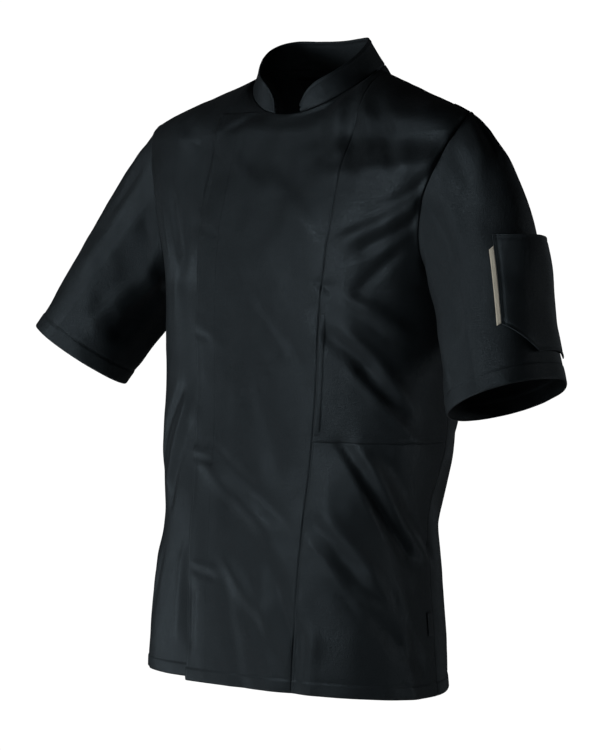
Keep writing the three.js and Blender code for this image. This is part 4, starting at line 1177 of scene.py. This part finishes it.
def sleeve_point(sleeve, turn, reach):
    du = smooth_sleeve(sleeve, turn + 1, reach) - smooth_sleeve(sleeve, turn - 1, reach)
    dv = smooth_sleeve(sleeve, turn, reach + 0.01) - smooth_sleeve(sleeve, turn, reach - 0.01)
    normal = unit(np.cross(du, dv)) * sleeve["side"]
    point = smooth_sleeve(sleeve, turn, reach)
    signed = np.where(turn > 180, turn - 360, turn)
    folds = sleeve["folds"] + sleeve["creases"]
    turns = [signed + by for by in (-360, 0, 360)]
    height = sum(fold_height(folds, SLEEVE_PER_DEGREE, t, reach * SLEEVE_DROP) for t in turns)
    height = (height + rumple(point, 9)) * ease(reach / SMOOTH_AT_ARMHOLE)
    return point + normal * height[..., None]


sleeve_turns = np.linspace(0, 360, int(SLEEVE_SPAN / SLEEVE_STEP) + 1)[:-1]
near_cuff = (0.7, 1.6, 3, *(SLEEVE_HEM_WIDTH + by for by in (-3, -1.2, 0, 1.2)))
sleeve_reaches = spaced(0, 1, SLEEVE_DROP, 3.3, SEAM_NEAR, near_cuff)
for name, sleeve in SLEEVES.items():
    points = sleeve_point(sleeve, *np.meshgrid(sleeve_turns, sleeve_reaches))
    points[0] += sleeve["facing"] * 1.5 * SEAM_GAP
    panel = sewn(panel_of(points, sleeve["side"], ring=True), dict(bottom="seam", top="sleeve_hem"))
    piece = wall(f"sleeve_{name}_cloth", panel, CLOTH, black_twill, ring=True)
    hem_line = run_beside(panel, "top", SLEEVE_HEM_WIDTH)
    sewing = stitches(f"sleeve_{name}_stitches", [hem_line + hem_line[:1]])
    moving(piece, [sewing])
    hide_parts(f"sleeve_{name}")

# The band collar is two layers with stiff interfacing between, topstitched near its upper edge. It stands
# on the neck seam and leans in behind, and its front ends are rounded and apart.
COLLAR_HEIGHT, COLLAR_FRONT_HEIGHT, COLLAR_THICK, COLLAR_START = 42, 32, 2.4, 13
COLLAR_LEAN, COLLAR_ROUND, COLLAR_LIFT, COLLAR_RADIUS = 34, 26, 0.7, 78
COLLAR_SPAN, COLLAR_TOPSTITCH, COLLAR_WAVE, COLLAR_WAVE_SIZE = 455, 5, 0.7, (26, 26, 40)


def neck_normal(angle):
    turn = np.where(angle > 180, 360 - angle, angle)
    side = np.where(angle > 180, -1, 1)
    front_column = side * turn / NECK_TO_SHOULDER * NECK_COLUMN
    back_column = side * (180 - turn) / (180 - NECK_TO_SHOULDER) * NECK_COLUMN
    in_front = (turn <= NECK_TO_SHOULDER)[..., None]
    ahead = smooth_normal(1, np.where(in_front[..., 0], front_column, 0.5 * side), 3 + 0 * angle)
    behind = smooth_normal(-1, np.where(in_front[..., 0], 0.5 * side, back_column), 3 + 0 * angle)
    return np.where(in_front, ahead, behind), np.where(in_front[..., 0], front_column, 9)


def collar_rise(angle):
    a, front = np.radians(angle), (1 + np.cos(np.radians(angle))) / 2
    lean = np.radians(mix(COLLAR_LEAN, 0, front**2))
    return np.stack([-np.sin(lean) * np.sin(a), np.sin(lean) * np.cos(a), np.cos(lean)], -1)


def collar_height(angle):
    front = (1 + np.cos(np.radians(angle))) / 2
    full = mix(COLLAR_HEIGHT, COLLAR_FRONT_HEIGHT, front)
    from_end = np.radians(np.minimum(angle, 360 - angle) - COLLAR_START) * COLLAR_RADIUS
    cut = np.maximum(COLLAR_ROUND - from_end, 0)
    return full - (COLLAR_ROUND - np.sqrt(np.maximum(COLLAR_ROUND**2 - cut**2, 0)))


near_end = COLLAR_ROUND * np.linspace(0.015, 1, 16) ** 2
collar_angles = spaced(COLLAR_START, 360 - COLLAR_START, COLLAR_SPAN, 3, near_end, near_end)
near_top = (0.4, 1.0, 1.8, COLLAR_TOPSTITCH - 1, COLLAR_TOPSTITCH, COLLAR_TOPSTITCH + 1)
collar_shares = spaced(0, 1, COLLAR_HEIGHT, 2.6, (0.6, 1.4), near_top)
angle, share = np.meshgrid(collar_angles, collar_shares)
neck_out, sunk_column = neck_normal(collar_angles)
sink = np.where(sunk_column < 0, under_depth(np.minimum(sunk_column, -1e-6), 3 + 0 * sunk_column), 0)
foot = neckline(collar_angles) - neck_out * sink[:, None]
standing = (COLLAR_LIFT + share * (collar_height(angle) - COLLAR_LIFT))[..., None] * collar_rise(angle)
points = foot[None] + standing
collar_panel = panel_of(points, 1)
wave = COLLAR_WAVE * uneven(points, COLLAR_WAVE_SIZE, 31) * ease(share / 0.3)
collar_panel["points"] = points + collar_panel["normals"] * wave[..., None]
collar_panel = sewn(collar_panel, dict(bottom="seam", top="edge"))
collar = wall("collar_band", collar_panel, COLLAR_THICK, black_twill)
collar_edges = (("top", COLLAR_TOPSTITCH), ("bottom", EDGE_STITCH))
collar_lines = [run_beside(collar_panel, edge, distance) for edge, distance in collar_edges]
collar_stitches = stitches("collar_stitches", collar_lines)
moving(collar, [collar_stitches])
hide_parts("collar")

# The patch pocket on the left sleeve has its lower corners cut off. Its mouth has a stitched band and
# stands a little open, and its sides and foot are stitched down on the sleeve.
POCKET_FRONT, POCKET_REAR, POCKET_TOP, POCKET_TOP_BOW, POCKET_BOTTOM = (48, 56), (-58, -60), 0.53, 0.105, 0.9
POCKET_CORNER, POCKET_CUT, POCKET_GAPE, POCKET_SHUT_BELOW, PATCH_GAP, BAND = 0.14, 0.26, 8, 0.75, 0.45, 13
POCKET_WIDTH, POCKET_HEIGHT, PEN_SLOT_SHARE, PEN_SLOT_FOOT = 125, 110, 0.2, 0.3


def pocket_place(across, down):
    """The sleeve's turn and reach under a place of the pocket."""
    foot = POCKET_BOTTOM - POCKET_CORNER * np.clip(1 - np.minimum(across, 1 - across) / POCKET_CUT, 0, 1)
    turn = mix(mix(*POCKET_FRONT, down), mix(*POCKET_REAR, down), across)
    top = POCKET_TOP - POCKET_TOP_BOW * (mix(POCKET_FRONT[0], POCKET_REAR[0], across) / 50) ** 2
    return turn, mix(top, foot, down)


def on_left_sleeve(turn, reach, out):
    """A place on the left sleeve, moved out by a distance."""
    left = SLEEVES["left"]
    du = sleeve_point(left, turn + 2, reach) - sleeve_point(left, turn - 2, reach)
    dv = sleeve_point(left, turn, reach + 0.008) - sleeve_point(left, turn, reach - 0.008)
    return sleeve_point(left, turn, reach) + unit(np.cross(du, dv)) * np.asarray(out)[..., None]


pocket_edge = (0.5, 1.2, 2, 3, 5)
pocket_across = spaced(0, 1, POCKET_WIDTH, 2, pocket_edge, pocket_edge)
pocket_up = spaced(0, 1, POCKET_HEIGHT, 2, pocket_edge, (0.5, 1.2, BAND - 1.2, BAND, BAND + 1.2))
across, up = np.meshgrid(pocket_across, pocket_up)
gape = POCKET_GAPE * np.sin(np.pi * across) ** 1.5 * ease(1 - (1 - up) / POCKET_SHUT_BELOW)
turn, reach = pocket_place(across, 1 - up)
points = on_left_sleeve(turn, reach, PATCH_GAP + CLOTH + gape)
pocket_panel = sewn(panel_of(points, -1), dict.fromkeys(("first", "last", "bottom", "top"), "edge"))
pocket = wall("arm_pocket", pocket_panel, CLOTH, black_twill)
pen_column = int(np.searchsorted(pocket_across, PEN_SLOT_SHARE))
pen_rows = pocket_up > PEN_SLOT_FOOT
pen_line = list(zip(*(pocket_panel[part][pen_rows, pen_column] for part in ("points", "normals"))))
pocket_lines = [run_beside(pocket_panel, edge, EDGE_STITCH) for edge in ("first", "last", "bottom")]
pocket_lines += [run_beside(pocket_panel, "top", BAND), pen_line]
pocket_stitches = stitches("arm_pocket_stitches", pocket_lines)
moving(pocket, [pocket_stitches])
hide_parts("sleeve_pocket")

# The narrow tape of cream cotton is caught in the pocket's front edge, and lies flat on the sleeve beside
# it.
TAPE_WIDTH, TAPE_LENGTH, TAPE_FROM, TAPE_TO, TAPE_THICK = 5.5, 95, 0.12, 0.98, 0.8
cream_tape = cloth_material(
    "cream_tape", (0.62, 0.57, 0.45), (0.84, 0.8, 0.68), roughness=0.75, rib=0.0011, bump=0.5, sheen=0.1
)
per_degree = math.pi / 180 * SLEEVES["left"]["wide"]
tape_down, tape_ahead = spaced(TAPE_FROM, TAPE_TO, TAPE_LENGTH, 2), spaced(0.4, TAPE_WIDTH, 5, 1)
down, ahead = np.meshgrid(tape_down, tape_ahead, indexing="ij")
foot_turn, foot_reach = pocket_place(0 * down, down)
points = on_left_sleeve(foot_turn + ahead / per_degree, foot_reach, PATCH_GAP + TAPE_THICK + 0 * down)
tape = wall("tape", panel_of(points, 1), TAPE_THICK, cream_tape)
moving(tape, [])
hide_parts("pocket_tape")
parts = [pocket_stitches, tape]

# A small plain tag, woven of black yarn and folded. It is caught in the left side seam, a little above
# the hem.
TAG_COLUMNS, TAG_TOP, TAG_BOTTOM, TAG_THICK, TAG_GAP = (1.93, 1.985), -640, -667, 0.7, 0.7
woven_black = cloth_material(
    "woven_black", (0.008, 0.009, 0.01), (0.018, 0.02, 0.022), roughness=0.5, rib=0.0006, bump=0.4, sheen=0.05
)
column, level = np.meshgrid(np.linspace(*TAG_COLUMNS, 7), np.linspace(TAG_BOTTOM, TAG_TOP, 14))
row = solve(lambda r: body(1, column, r)[..., 2], level, 0, 1)
points = body(1, column, row)
tag_panel = panel_of(points + grid_normals(points, 1) * (TAG_GAP + TAG_THICK), 1)
side_tag = wall("seam_tag", tag_panel, TAG_THICK, woven_black)

# A plain label, woven of the same yarn as the tag. It is sewn flat inside the back of the neck, a little
# below the collar.
LABEL_COLUMN, LABEL_ROWS, LABEL_THICK, LABEL_GAP = 0.54, (2.42, 2.86), 0.6, 2.1
column, row = np.meshgrid(np.linspace(-LABEL_COLUMN, LABEL_COLUMN, 34), np.linspace(*LABEL_ROWS, 16))
points = body(-1, column, row)
label_panel = panel_of(points - grid_normals(points, -1) * (CLOTH + LABEL_GAP), 1)
neck_label = wall("neck_label_cloth", label_panel, LABEL_THICK, woven_black)
for piece, node, cut in (
    (side_tag, "side_tag", (0.012, 0.027)),
    (neck_label, "neck_label", (0.1, 0.05)),
):
    moving(piece, [])
    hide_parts(node)

# Five press studs of black plastic hold the lapped front down. Each goes through one front, and they are
# hidden between the two.
STUD_PATCH, STUD_DARK, STUD_LIGHT = 0.004, (0.008, 0.008, 0.009), (0.02, 0.02, 0.022)
STUD_SHINY, STUD_FIBRES = 0.3, 0.2
stud_plastic, tree, shader = new_material("stud_plastic")
shader.inputs["Specular IOR Level"].default_value = 0.5
fibres, patches = worn(tree, STUD_PATCH)
two_shades(tree, patches, STUD_DARK, STUD_LIGHT, shader)
tree.links.new(maths(tree, "MULTIPLY_ADD", fibres, STUD_FIBRES, STUD_SHINY), shader.inputs["Roughness"])
for name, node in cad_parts.items():
    if name.startswith("press_stud"):
        for material_slot in node.material_slots:
            material_slot.material = stud_plastic
